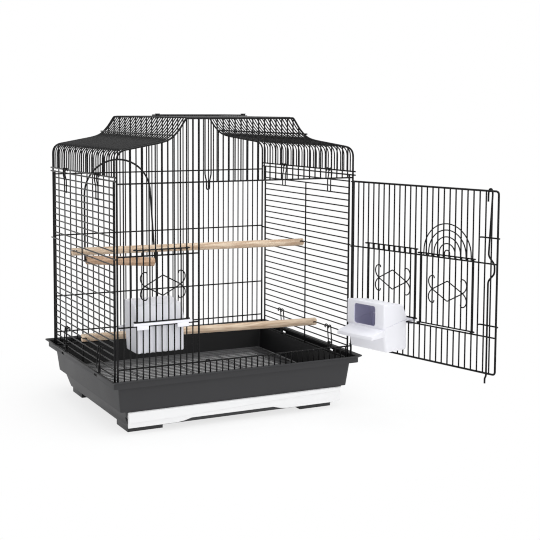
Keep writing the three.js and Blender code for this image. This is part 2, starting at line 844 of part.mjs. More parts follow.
// Cup of a feeder, with the flange that hangs on the rail, the outer ledge and the front guard.
// Its origin is on the rail axis, in the plane of the bars, and Y runs into the cage.
function feederCup() {
  const half = feederWidth / 2;
  const back = feederStandOff;
  const sidePlate = (outline, from, to) => plate(outline, axisY, axisZ, from, to);
  const outer = sidePlate([
    [back, -cupDrop], [back + cupBottomDepth, -cupDrop], [back + cupRimDepth, seamFront], [back, seamBack],
  ], -half, half);
  const wallIn = feederWall;
  const inner = sidePlate([
    [back + wallIn, wallIn - cupDrop], [back + cupBottomDepth - wallIn, wallIn - cupDrop],
    [back + cupRimDepth - wallIn, seamFront + cutOverrun],
    [back + cupRimDepth - wallIn, seamBack + cutOverrun], [back + wallIn, seamBack + cutOverrun],
  ], wallIn - half, half - wallIn);
  const guardTop = seamFront - guardThickness;
  const front = back + cupRimDepth;
  const guard = sidePlate([
    [front - wallIn / 2, guardTop], [front + guardReach, guardTop - guardDrop],
    [front + guardReach, guardTop - guardDrop - guardThickness],
    [front - wallIn / 2, guardTop - guardThickness],
  ], -half, half - guardInset);
  const seat = railRadius + pieceGap;
  const ledgeFace = -edgeRadius - pieceGap;
  const flange = block(
    -flangeWidth / 2, flangeWidth / 2, ledgeFace - ledgeDepth / 2, back + wallIn / 2,
    seat, seat + flangeThickness,
  );
  const ledge = block(
    -ledgeWidth / 2, ledgeWidth / 2, ledgeFace - ledgeDepth, ledgeFace,
    seat + ledgeRise - flangeThickness / 2, seat + ledgeRise - flangeThickness / 2 + ledgeHeight,
  );
  const tabs = [-1, 1].map((side) => {
    const outerEnd = side * (ledgeWidth / 2 - tabInset);
    const innerEnd = outerEnd - side * tabWidth;
    return block(
      Math.min(outerEnd, innerEnd), Math.max(outerEnd, innerEnd),
      ledgeFace - ledgeDepth, ledgeFace - ledgeDepth + tabThickness,
      seat + flangeThickness - tabDrop, seat + flangeThickness,
    );
  });
  return join([cut(outer, [inner]), guard, flange, ledge, tabs]);
}
const ledgeCrown = railRadius + pieceGap + ledgeRise - flangeThickness / 2 + ledgeHeight;

// Hood of a feeder: a cover with a leaning back and a window to the inside of the cage
function feederHood() {
  const half = feederWidth / 2;
  const back = feederStandOff;
  const front = back + cupRimDepth;
  const sidePlate = (outline, from, to) => plate(outline, axisY, axisZ, from, to);
  const backSeam = seamBack + pieceGap;
  const frontSeam = seamFront + pieceGap;
  const outer = sidePlate([
    [back, backSeam], [front, frontSeam], [front, hoodTop], [back + hoodBackLean, hoodBackTop],
  ], -half, half);
  const wallIn = feederWall;
  const inner = sidePlate([
    [back + wallIn, backSeam - cutOverrun], [front - wallIn, frontSeam - cutOverrun * 2],
    [front - wallIn, hoodTop - wallIn], [back + hoodBackLean + wallIn, hoodBackTop - wallIn],
    [back + wallIn, backSeam],
  ], wallIn - half, half - wallIn);
  const window = block(
    windowShift - windowWidth / 2, windowShift + windowWidth / 2,
    front - wallIn - cutOverrun, front + cutOverrun,
    windowBottom + pieceGap, windowBottom + windowHeight,
  );
  return cut(outer, [inner, window]);
}

// Main door, drawn closed with its hinge at the origin: it reaches along -X, inside is +Y
function mainDoor() {
  const y = doorBarDepth;
  const at = (place, z) => point(-place, y, z);
  const corner = (z, side) => [
    at(doorEnd, z - side * doorCorner), at(doorEnd - doorCorner, z),
  ];
  const outline = [
    at(doorFirstBar, doorBottom), ...corner(doorBottom, -1).reverse(),
    ...corner(doorTop, 1), at(doorFirstBar, doorTop),
  ];
  const parts = [wire(outline, axisY, edgeRadius, { closed: true })];
  const openings = [
    [doorFeederFirst, doorFeederFirst + doorFeederBars],
    [doorEmptyFirst, doorEmptyFirst + doorEmptyBars],
  ];
  for (let i = 1; i < doorIntervals; i += 1) {
    const inOpening = openings.some(([first, last]) => i > first && i < last);
    const x = -doorPlace(i);
    if (inOpening) {
      parts.push(uprightBar(x, y, doorBottom, doorFeederRail + railRadius, barDepth(i)));
      parts.push(uprightBar(x, y, doorMiddle - railRadius, doorTop, barDepth(i)));
    } else {
      parts.push(uprightBar(x, y, doorBottom, doorTop, barDepth(i)));
    }
  }
  const railY = doorRailDepth;
  parts.push(wire([
    point(-doorFirstBar, railY, doorFeederRail), point(-doorEnd, railY, doorFeederRail),
  ], axisY, railRadius));
  parts.push(wire([
    point(-doorFirstBar, railY, doorMiddle), point(-doorEnd, railY, doorMiddle),
  ], axisY, railRadius));
  for (const z of hingeEyeHeights) {
    const eye = hook(
      point(0, 0, z), axisX, axisY, hingeEyeRadius, hingeEyeFromAngle, hingeEyeTurn, hingeEyeSteps,
    );
    parts.push(wire([point(-doorPlace(1) - barRadius, railY, z), ...eye], axisZ, hingeEyeWire));
    parts.push(wire([
      point(-doorPlace(1), doorBarDepth, z), point(-doorPlace(1), railY, z),
    ], axisZ, hingeEyeWire));
  }
  const centre = -doorPlace(sunburstBar);
  for (const radius of sunburstRadii) {
    const bow = arc(
      point(centre, railY, doorMiddle + sunburstLeg), axisX, axisZ, radius, 0, sunburstTurn, sunburstSteps,
    );
    parts.push(wire([
      point(centre + radius, railY, doorMiddle), ...bow, point(centre - radius, railY, doorMiddle),
    ], axisY, ornamentRadius));
  }
  const guideOut = rodDepth - rodRadius - pieceGap - railRadius;
  for (const z of rodGuideHeights) {
    parts.push(wire([
      point(-doorPlace(rodGuideBar), doorBarDepth, z), point(-doorPlace(rodGuideBar), guideOut, z),
      point(-doorEnd, guideOut, z), point(-doorEnd, doorBarDepth, z),
    ], axisZ, railRadius));
  }
  return join(parts);
}

// Latch rod, in the door's own frame: hooked top, bowed grip, and a tip below the door
function latchRod() {
  const y = rodDepth;
  const at = (place, z) => point(-place, y, z);
  const bowTop = (rodHandleTop - rodHandleBottom) * rodHandleBendShare;
  const upper = wire([
    at(rodPlace + rodLean - rodHookWidth, rodTop - rodHookDrop),
    at(rodPlace + rodLean - rodHookWidth, rodTop - rodHookRise),
    at(rodPlace + rodLean - rodHookWidth / 2, rodTop),
    at(rodPlace + rodLean, rodTop - rodHookRise), at(rodPlace, rodHandleTop),
    at(rodPlace + rodHandleBulge, rodHandleTop - bowTop),
    at(rodPlace + rodHandleBulge, rodHandleBottom + bowTop),
    at(rodPlace, rodHandleBottom), at(rodPlace, rodJogTop),
  ], axisY, rodRadius);
  const lower = wire([
    point(-rodPlace, y, rodJogTop + rodRadius),
    point(-rodPlace, y, rodJogBottom), point(-rodPlace, y + rodJog, rodJogBottom - rodJog),
    point(-rodPlace, y + rodJog, rodTip),
  ], axisX, rodRadius);
  return join([upper, lower]);
}

// Perch: a dowel whose slotted ends hold a level bar of each side wall
function perch(barIndex, leftY, rightY, drop) {
  const z = sideBarHeight(barIndex);
  const reach = halfWidth + sideShift + perchReach;
  const start = point(-reach, leftY, z - drop);
  const end = point(reach, rightY, z - drop);
  const slot = (x) => block(
    x > 0 ? x - perchSlotDepth : x - cutOverrun, x > 0 ? x + cutOverrun : x + perchSlotDepth,
    Math.min(leftY, rightY) - perchRadius * 2, Math.max(leftY, rightY) + perchRadius * 2,
    z - perchSlot / 2, z + perchSlot / 2,
  );
  return cut(rod(start, end, perchRadius, perchSides), [slot(-reach), slot(reach)]);
}

// Swing: a bow of wire with an eye round a roof wire, and a wooden bar between its feet
const swingPivot = point(swingPlace, roofWirePlace(swingRoofWire), roofHeight(swingPlace, roofLift));
const swingFeet = [
  point(swingPivot.x - swingHalf, swingPivot.y, swingPerchHeight + swingDrop / 2),
  point(swingPivot.x + swingHalf + swingSplay, swingPivot.y, swingPerchHeight - swingDrop / 2),
];
function swingWire() {
  const y = swingPivot.y;
  const bow = Array.from({ length: swingSteps + 1 }, (_, i) => {
    const angle = (i / swingSteps) * Math.PI;
    return point(
      swingPivot.x + swingHalf * Math.cos(angle), y,
      swingLegTop + (swingTop - swingLegTop) * Math.sin(angle),
    );
  });
  const pin = swingFeet[1].clone().sub(swingFeet[0]).setLength(swingPinDepth);
  const frame = wire([
    swingFeet[1].clone().sub(pin), swingFeet[1], ...bow, swingFeet[0], swingFeet[0].clone().add(pin),
  ], axisY, swingWireRadius);
  const eyeCentre = swingPivot.clone().addScaledVector(axisZ, -swingEyeDrop);
  const eye = hook(eyeCentre, axisY, axisZ, swingEyeRadius, swingEyeFrom, -swingEyeTurn, swingSteps - 1);
  const stem = wire([...eye, point(swingPivot.x, y, swingTop)], axisX, swingWireRadius);
  return join([frame, stem]);
}

function swingPerch() {
  const [left, right] = swingFeet;
  const along = right.clone().sub(left).normalize();
  const end = swingWireRadius + swingPerchEndGap;
  const mouth = end - cutOverrun;
  const depth = swingPinDepth + pieceGap * 2;
  const body = rod(
    left.clone().addScaledVector(along, end), right.clone().addScaledVector(along, -end),
    swingPerchRadius, perchSides,
  );
  const bore = swingWireRadius + pieceGap * 2;
  const holes = [[left, 1], [right, -1]].map(([foot, way]) => wire([
    foot.clone().addScaledVector(along, way * mouth), foot.clone().addScaledVector(along, way * depth),
  ], axisY, bore));
  return cut(body, holes);
}

// Carrying handle, folded flat, and the brackets that hold its ends
const handleHeight = plateauHeight + roofLift + barRadius + weldDepth + pieceGap + handleRadius;
const handlePivot = point(0, roofWirePlace(handleRoofWire), handleHeight);
function carryingHandle() {
  const y = handlePivot.y;
  const z = handleHeight;
  const leg = handleHalf - bracketWidth;
  const bend = leg - bracketWidth;
  return wire([
    point(-handleHalf - handlePinReach, y, z), point(-leg, y, z), point(-bend, y + handleReach, z),
    point(bend, y + handleReach, z), point(leg, y, z), point(handleHalf + handlePinReach, y, z),
  ], axisZ, handleRadius);
}

function handleBracket(side) {
  const x = side * handleHalf;
  const y = handlePivot.y;
  const low = plateauHeight + roofLift + barRadius + weldDepth + pieceGap;
  const halfX = bracketWidth / 2;
  const inner = handleRadius + pieceGap;
  const strap = block(
    x - halfX, x + halfX, y - bracketLength / 2, y + bracketLength / 2, low, low + bracketThickness,
  );
  const pin = block(
    x - halfX - cutOverrun, x + halfX + cutOverrun, y - inner, y + inner, low - cutOverrun,
    handleHeight + inner,
  );
  const post = block(
    x - halfX, x + halfX, y - inner - bracketPost, y + inner + bracketPost,
    low, low + bracketHeight,
  );
  const top = block(
    x - bracketTopLength / 2, x + bracketTopLength / 2, y - bracketPost / 2, y + bracketPost / 2,
    low + bracketHeight - bracketThickness, low + bracketHeight,
  );
  return join([cut(join([strap, post]), [pin]), top]);
}

// Clip at the top of a side wall: a loop that hangs on the roof rail, outside the wall
function topClip(side, end) {
  const out = axisX.clone().multiplyScalar(side);
  const centreX = halfWidth + sideRailOut;
  const wrap = railRadius + pieceGap + clipRadius;
  const middle = end * roofWirePlace(topClipWire);
  const legs = [-1, 1].map((leg) => {
    const y = middle + (leg * roofPitch) / 2;
    const at = (x, z) => point(side * x, y, z);
    const curl = hook(at(centreX, roofRailHeight), out, axisZ, wrap, clipTurn, -clipTurn, clipSteps);
    return wire([
      ...curl, at(centreX + wrap, topClipStraight), at(clipRest, topClipBend), at(clipRest, topClipBottom),
    ], axisY, clipRadius);
  });
  const foot = wire([
    point(side * clipRest, middle - roofPitch / 2, topClipBottom),
    point(side * clipRest, middle + roofPitch / 2, topClipBottom),
  ], axisX, clipRadius);
  return join([legs, foot]);
}
const clipRest = halfWidth + sideShift + weldedDepth + pieceGap + clipRadius;

// Clip at the foot of a side wall: a loop that hangs on a level bar, under the nose of a lug
function bottomClip(side, end) {
  const out = axisX.clone().multiplyScalar(side);
  const centreX = halfWidth + sideShift;
  const wrap = weldedDepth + pieceGap + clipRadius;
  const middle = end * bottomClipPlace;
  const z = sideBarHeight(bottomClipBar);
  const legs = [-1, 1].map((leg) => {
    const y = middle + leg * bottomClipHalf;
    const curl = hook(point(side * centreX, y, z), out, axisZ, wrap, clipTurn, -clipTurn, clipSteps);
    return wire([...curl, point(side * (centreX + bottomClipOut), y, bottomClipHeight)], axisY, clipRadius);
  });
  const foot = wire([
    point(side * (centreX + bottomClipOut), middle - bottomClipHalf, bottomClipHeight),
    point(side * (centreX + bottomClipOut), middle + bottomClipHalf, bottomClipHeight),
  ], axisX, clipRadius);
  return join([legs, foot]);
}

// Builds the named mesh of one piece.
function piece(name, body, look) {
  const data = body.getMesh();
  const geometry = new THREE.BufferGeometry();
  const places = new Float32Array(data.numVert * 3);
  for (let i = 0; i < data.numVert; i += 1) {
    for (let k = 0; k < 3; k += 1) places[3 * i + k] = data.vertProperties[data.numProp * i + k];
  }
  geometry.setAttribute('position', new THREE.BufferAttribute(places, 3));
  geometry.setIndex(new THREE.BufferAttribute(new Uint32Array(data.triVerts), 1));
  const mesh = new THREE.Mesh(geometry, new THREE.MeshStandardMaterial(look));
  mesh.name = name;
  return mesh;
}

// Everything is laid out round the middle of the cage, then moved to the part's origin.
const birdCage = new THREE.Group();
birdCage.position.set(footCentreX, footCentreY, 0);
birdCage.add(
  piece('base_tub', baseTub(), blackPlastic),
  piece('tray_front', drawerFront(), whitePlastic),
  piece('tray', drawerTray(), whitePlastic),
  piece('floor_grille', floorGrille(), blackWire),
  piece('front_panel', frontPanel(), blackWire),
  piece('back_panel', backPanel(), blackWire),
  piece('left_side_panel', sidePanel(-1), blackWire),
  piece('right_side_panel', sidePanel(1), blackWire),
  piece('roof_panel', roofPanel(), blackWire),
  piece('upper_perch', perch(upperPerchBar, upperPerchLeft, upperPerchRight, upperPerchDrop), paleWood),
  piece('lower_perch', perch(lowerPerchBar, lowerPerchLeft, lowerPerchRight, 0), paleWood),
  piece('swing_wire', swingWire(), blackWire),
  piece('swing_perch', swingPerch(), brownWood),
  piece('carrying_handle', carryingHandle(), blackWire),
  piece('handle_bracket_left', handleBracket(-1), blackWire),
  piece('handle_bracket_right', handleBracket(1), blackWire),
);

for (const [side, sideName] of [[-1, 'left'], [1, 'right']]) {
  for (const [end, endName] of [[-1, 'front'], [1, 'back']]) {
    birdCage.add(piece(`top_clip_${sideName}_${endName}`, topClip(side, end), blackWire));
    birdCage.add(piece(`bottom_clip_${sideName}_${endName}`, bottomClip(side, end), blackWire));
  }
}

// The feeder and small door of the front wall
const panelFeederX = frontBarPlace(feederBarFirst + feederBars / 2);
const panelFeeder = new THREE.Group();
panelFeeder.position.set(panelFeederX, -halfDepth, 0);
const panelDoorBottom = feederRailHeight + ledgeCrown + pieceGap + barRadius;
panelFeeder.add(piece('panel_feeder_door', feederDoor(barPitch, feederBars, panelDoorBottom), blackWire));
const panelFeederCup = piece('panel_feeder_cup', feederCup(), whitePlastic);
const panelFeederHood = piece('panel_feeder_hood', feederHood(), whitePlastic);
for (const mesh of [panelFeederCup, panelFeederHood]) {
  mesh.position.z = feederRailHeight;
  panelFeeder.add(mesh);
}
birdCage.add(panelFeeder);

// The main door and all that it carries, swung open on its hinge line
const door = new THREE.Group();
door.position.copy(hinge);
door.rotation.z = THREE.MathUtils.degToRad(doorOpenAngle);
door.add(piece('main_door', mainDoor(), blackWire), piece('latch_rod', latchRod(), blackWire));
const doorFeederSet = new THREE.Group();
doorFeederSet.position.set(-doorPlace(doorFeederFirst + doorFeederBars / 2), doorBarDepth, 0);
const doorFeederBottom = doorFeederRail + ledgeCrown + pieceGap + barRadius;
doorFeederSet.add(
  piece('door_feeder_door', feederDoor(doorBarPitch, doorFeederBars, doorFeederBottom), blackWire),
);
const doorFeederCup = piece('door_feeder_cup', feederCup(), whitePlastic);
const doorFeederHood = piece('door_feeder_hood', feederHood(), whitePlastic);
for (const mesh of [doorFeederCup, doorFeederHood]) {
  mesh.position.set(-doorFeederShift, 0, doorFeederRail);
  doorFeederSet.add(mesh);
}
door.add(doorFeederSet);
const emptySet = new THREE.Group();
emptySet.position.set(-doorPlace(doorEmptyFirst + doorEmptyBars / 2), doorBarDepth, 0);
const emptyBottom = doorFeederRail + railRadius + pieceGap + barRadius;
emptySet.add(piece('door_empty_feeder_door', feederDoor(doorBarPitch, doorEmptyBars, emptyBottom), blackWire));
door.add(emptySet);
birdCage.add(door);

const part = new THREE.Group();
part.add(birdCage);

export default part;
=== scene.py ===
"""Bird cage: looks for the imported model, with round coated wires, moulded plastic and turned wood.

Lengths in the classes are millimetres about the middle of the cage body, X along the front,
Y from front to back and Z up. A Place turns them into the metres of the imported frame.
"""

import logging
import math
from dataclasses import dataclass, field
from enum import Enum
from typing import Iterable, Sequence

import bmesh
import bpy
from mathutils import Matrix, Vector


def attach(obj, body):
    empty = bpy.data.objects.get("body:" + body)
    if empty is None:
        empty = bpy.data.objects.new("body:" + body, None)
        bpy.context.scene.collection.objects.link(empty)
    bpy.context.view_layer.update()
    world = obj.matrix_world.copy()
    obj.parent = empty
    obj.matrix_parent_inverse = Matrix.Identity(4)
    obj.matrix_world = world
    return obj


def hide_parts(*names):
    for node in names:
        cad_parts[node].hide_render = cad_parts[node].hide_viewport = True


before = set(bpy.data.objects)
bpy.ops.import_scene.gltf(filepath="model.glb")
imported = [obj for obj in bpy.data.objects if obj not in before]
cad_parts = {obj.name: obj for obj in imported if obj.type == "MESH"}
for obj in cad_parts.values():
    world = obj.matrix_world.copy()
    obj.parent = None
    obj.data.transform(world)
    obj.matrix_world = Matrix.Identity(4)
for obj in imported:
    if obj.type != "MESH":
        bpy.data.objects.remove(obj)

log = logging.getLogger("bird_cage")
logging.basicConfig(level=logging.INFO, format="%(name)s: %(message)s")

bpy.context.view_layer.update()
MM = 0.001
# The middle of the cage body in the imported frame, in millimetres.
SHIFT = Vector((177.5, 131.25, 0.0))
# How far bars run past the wires that end them: on the front and the door, and elsewhere.
LAP = 1.0
OVERRUN = 1.3
# Limits how far a sharp corner widens a wire's cross-section.
MITRE = 0.3

X = Vector((1.0, 0.0, 0.0))
Y = Vector((0.0, 1.0, 0.0))
Z = Vector((0.0, 0.0, 1.0))


class Wire(Enum):
    """Radii of the round wires, in millimetres."""

    FINE = 1.1
    BAR = 1.32
    CLIP = 1.2
    ROOF = 1.21
    RAIL = 1.42
    ROD = 1.65
    HANDLE = 1.5
    EDGE = 1.85


# Places


@dataclass(frozen=True)
class Place:
    """Where a piece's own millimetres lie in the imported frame.

    Args:
        origin: the piece's own origin, in millimetres about the middle of the cage.
        turn: the turn about the upright through that origin, in degrees.
    """

    origin: tuple[float, float, float] = (0.0, 0.0, 0.0)
    turn: float = 0.0

    def matrix(self) -> Matrix:
        """Gives the matrix from the piece's millimetres to the frame's metres."""
        spot = Matrix.Translation((Vector(self.origin) + SHIFT) * MM)
        return spot @ Matrix.Rotation(math.radians(self.turn), 4, "Z") @ Matrix.Scale(MM, 4)


CAGE = Place()
DOOR = Place((240.0, -189.0, 0.0), 104.3)


def door_place(along: float, inward: float, up: float = 0.0) -> Place:
    """Gives a place on the open door.

    Args:
        along: distance from the hinge, as negative X of the closed door.
        inward: distance from the hinge plane towards the cage's inside.
        up: height above the ground.

    Returns:
        The place, turned as the door is.
    """
    spot = Matrix.Rotation(math.radians(DOOR.turn), 3, "Z") @ Vector((along, inward, 0.0))
    return Place((DOOR.origin[0] + spot.x, DOOR.origin[1] + spot.y, up), DOOR.turn)


# Shader groups


def open_group(
    name: str, inputs: dict[str, object],
) -> tuple[bpy.types.NodeTree, bpy.types.Node, bpy.types.NodeSocket]:
    """Starts a surface group with Color, Roughness and Normal outputs.

    Args:
        name: the group's name.
        inputs: its inputs with their defaults, a colour as four numbers.

    Returns:
        The group, the node that gives its inputs, and its object coordinates.
    """
    tree = bpy.data.node_groups.new(name, "ShaderNodeTree")
    for socket, value in inputs.items():
        kind = "NodeSocketColor" if isinstance(value, tuple) else "NodeSocketFloat"
        added = tree.interface.new_socket(name=socket, in_out="INPUT", socket_type=kind)
        added.default_value = value
    for socket, kind in (("Color", "Color"), ("Roughness", "Float"), ("Normal", "Vector")):
        tree.interface.new_socket(name=socket, in_out="OUTPUT", socket_type=f"NodeSocket{kind}")
    coords = tree.nodes.new("ShaderNodeTexCoord")
    return tree, tree.nodes.new("NodeGroupInput"), coords.outputs["Object"]


def add_noise(
    tree: bpy.types.NodeTree, place: bpy.types.NodeSocket, detail: float, scale: float = 1.0,
) -> bpy.types.Node:
    """Adds a noise texture.

    Args:
        tree: the group.
        place: its coordinates.
        detail: its detail.
        scale: its scale, where no link sets it.

    Returns:
        The texture's node.
    """
    noise = tree.nodes.new("ShaderNodeTexNoise")
    noise.inputs["Detail"].default_value = detail
    noise.inputs["Scale"].default_value = scale
    tree.links.new(place, noise.inputs["Vector"])
    return noise


def blend_colors(
    tree: bpy.types.NodeTree, factor: bpy.types.NodeSocket, dark: bpy.types.NodeSocket,
    light: bpy.types.NodeSocket,
) -> bpy.types.NodeSocket:
    """Mixes two colours.

    Args:
        tree: the group.
        factor: the share of the light one.
        dark: the dark colour.
        light: the light colour.

    Returns:
        The mixed colour.
    """
    blend = tree.nodes.new("ShaderNodeMix")
    blend.data_type = "RGBA"
    # Inputs 6 and 7 are the mix node's colours, and output 2 is its colour.
    for socket, source in (("Factor", factor), (6, dark), (7, light)):
        tree.links.new(source, blend.inputs[socket])
    return blend.outputs[2]


def close_group(
    tree: bpy.types.NodeTree, given: bpy.types.Node, color: bpy.types.NodeSocket,
    rough: bpy.types.NodeSocket, height: bpy.types.NodeSocket, depth: float,
) -> None:
    """Adds a surface group's bump and joins its outputs.

    Args:
        tree: the group.
        given: the node that gives its inputs.
        color: its finished colour.
        rough: its finished roughness.
        height: the height of its bump.
        depth: the bump's depth at full strength, in metres.
    """
    bump, out = tree.nodes.new("ShaderNodeBump"), tree.nodes.new("NodeGroupOutput")
    bump.inputs["Distance"].default_value = depth
    tree.links.new(given.outputs["Bump"], bump.inputs["Strength"])
    tree.links.new(height, bump.inputs["Height"])
    tree.links.new(color, out.inputs["Color"])
    tree.links.new(rough, out.inputs["Roughness"])
    tree.links.new(bump.outputs["Normal"], out.inputs["Normal"])


def build_mottle() -> bpy.types.NodeTree:
    """Builds the group that varies a colour and a roughness in soft clouds, with a fine bump.

    Returns:
        The group.
    """
    tree, given, place = open_group("surface_mottle", {
        "Color": (0.5, 0.5, 0.5, 1.0), "Dark": (0.4, 0.4, 0.4, 1.0), "Cloud Scale": 20.0,
        "Grain Scale": 900.0, "Rough Low": 0.3, "Rough High": 0.5, "Bump": 0.1,
    })
    cloud, grain = add_noise(tree, place, 3.0), add_noise(tree, place, 2.0)
    tree.links.new(given.outputs["Cloud Scale"], cloud.inputs["Scale"])
    tree.links.new(given.outputs["Grain Scale"], grain.inputs["Scale"])
    color = blend_colors(tree, cloud.outputs["Fac"], given.outputs["Dark"], given.outputs["Color"])
    rough = tree.nodes.new("ShaderNodeMapRange")
    tree.links.new(cloud.outputs["Fac"], rough.inputs["Value"])
    tree.links.new(given.outputs["Rough Low"], rough.inputs["To Min"])
    tree.links.new(given.outputs["Rough High"], rough.inputs["To Max"])
    close_group(tree, given, color, rough.outputs["Result"], grain.outputs["Fac"], 0.0004)
    return tree


def build_wood_grain() -> bpy.types.NodeTree:
    """Builds the group that draws long wood grain along X, with growth bands and pores.

    Returns:
        The group.
    """
    tree, given, place = open_group("wood_grain", {
        "Light": (0.7, 0.5, 0.3, 1.0), "Dark": (0.5, 0.3, 0.2, 1.0), "Bump": 0.2,
    })
    stretch = tree.nodes.new("ShaderNodeMapping")
    stretch.inputs["Scale"].default_value = (9.0, 240.0, 240.0)
    tree.links.new(place, stretch.inputs["Vector"])
    bands = add_noise(tree, stretch.outputs["Vector"], 5.0, 1.0)
    pores = add_noise(tree, stretch.outputs["Vector"], 2.0, 4.0)
    ramp = tree.nodes.new("ShaderNodeMapRange")
    ramp.inputs["From Min"].default_value = 0.35
    ramp.inputs["From Max"].default_value = 0.65
    tree.links.new(bands.outputs["Fac"], ramp.inputs["Value"])
    color = blend_colors(tree, ramp.outputs["Result"], given.outputs["Dark"], given.outputs["Light"])
    rough = tree.nodes.new("ShaderNodeMapRange")
    rough.inputs["To Min"].default_value = 0.62
    rough.inputs["To Max"].default_value = 0.8
    tree.links.new(pores.outputs["Fac"], rough.inputs["Value"])
    close_group(tree, given, color, rough.outputs["Result"], pores.outputs["Fac"], 0.0005)
    return tree


# Finishes

Color = tuple[float, float, float]


def group_material(
    name: str, tree: bpy.types.NodeTree, values: dict[str, object],
) -> tuple[bpy.types.Material, bpy.types.Node]:
    """Makes a material whose colour, roughness and normal come from a surface group.

    Args:
        name: the material's name.
        tree: the group.
        values: what its inputs are set to.

    Returns:
        The material and its shader node.
    """
    material = bpy.data.materials.new(name)
    material.use_nodes = True
    nodes, links = material.node_tree.nodes, material.node_tree.links
    shader, group = nodes["Principled BSDF"], nodes.new("ShaderNodeGroup")
    group.node_tree = tree
    for socket, value in values.items():
        group.inputs[socket].default_value = value
    links.new(group.outputs["Color"], shader.inputs["Base Color"])
    links.new(group.outputs["Roughness"], shader.inputs["Roughness"])
    links.new(group.outputs["Normal"], shader.inputs["Normal"])
    return material, shader


@dataclass(frozen=True)
class Coated:
    """A moulded or coated surface that varies softly.

    Args:
        name: the material's name.
        color: its main colour.
        dark: the colour of its darker clouds.
        cloud: the scale of the clouds.
        grain: the scale of the fine bump.
        rough: lowest and highest roughness.
        bump: strength of the fine bump.
        specular: strength of its plain reflection.
        glow: strength of a painted glow: emission in its own colour that stands in for light coming through
            it or falling on it.
    """

    name: str
    color: Color
    dark: Color
    cloud: float = 20.0
    grain: float = 900.0
    rough: tuple[float, float] = (0.3, 0.5)
    bump: float = 0.1
    specular: float = 0.5
    glow: float = 0.0

    def make(self, mottle: bpy.types.NodeTree) -> bpy.types.Material:
        """Makes the material.

        Args:
            mottle: the shared cloud group.

        Returns:
            The material.
        """
        material, shader = group_material(self.name, mottle, {
            "Color": (*self.color, 1.0), "Dark": (*self.dark, 1.0), "Cloud Scale": self.cloud,
            "Grain Scale": self.grain, "Rough Low": self.rough[0], "Rough High": self.rough[1],
            "Bump": self.bump,
        })
        shader.inputs["Specular IOR Level"].default_value = self.specular
        # Painted light: the emission is a glow in the surface's own colour that stands in for light. The
        # surface is no lamp.
        shader.inputs["Emission Color"].default_value = (*self.color, 1.0)
        shader.inputs["Emission Strength"].default_value = self.glow
        return material


@dataclass(frozen=True)
class Turned:
    """Bare turned wood.

    Args:
        name: the material's name.
        light: colour of the early wood.
        dark: colour of the late wood.
        bump: strength of the pores.
    """

    name: str
    light: Color
    dark: Color
    bump: float = 0.25

    def make(self, grain: bpy.types.NodeTree) -> bpy.types.Material:
        """Makes the material.

        Args:
            grain: the shared wood group.

        Returns:
            The material.
        """
        material, _ = group_material(self.name, grain, {
            "Light": (*self.light, 1.0), "Dark": (*self.dark, 1.0), "Bump": self.bump,
        })
        return material


@dataclass(frozen=True)
class Finishes:
    """Every material of the cage.

    Args:
        wire: the black coating of the wires.
        painted_sheen_wire: the floor grille's glossier coating, whose paler colour is a painted sheen for
            the light that its wires catch from above.
        tub: the black moulded tub.
        shade: painted shade, a darker colour and weaker reflection for the tub's inside and lip.
        white: the white moulded feeders, whose faint blue tint is painted shade, taken from the
            lavender-grey of their shaded sides.
        bright: the tray's front.
        pan: the tray, with a painted glow that stands in for the light from below that brightens it.
        painted_inside_shade: painted shade and a painted glow on the inside of the feeders' hoods and cups:
            a darker lavender for their shade, and a faint glow for light through the thin plastic.
        pale: the pale wood of the perches.
        brown: the darker wood of the swing's bar.
    """

    wire: bpy.types.Material
    painted_sheen_wire: bpy.types.Material
    tub: bpy.types.Material
    shade: bpy.types.Material
    white: bpy.types.Material
    bright: bpy.types.Material
    pan: bpy.types.Material
    painted_inside_shade: bpy.types.Material
    pale: bpy.types.Material
    brown: bpy.types.Material


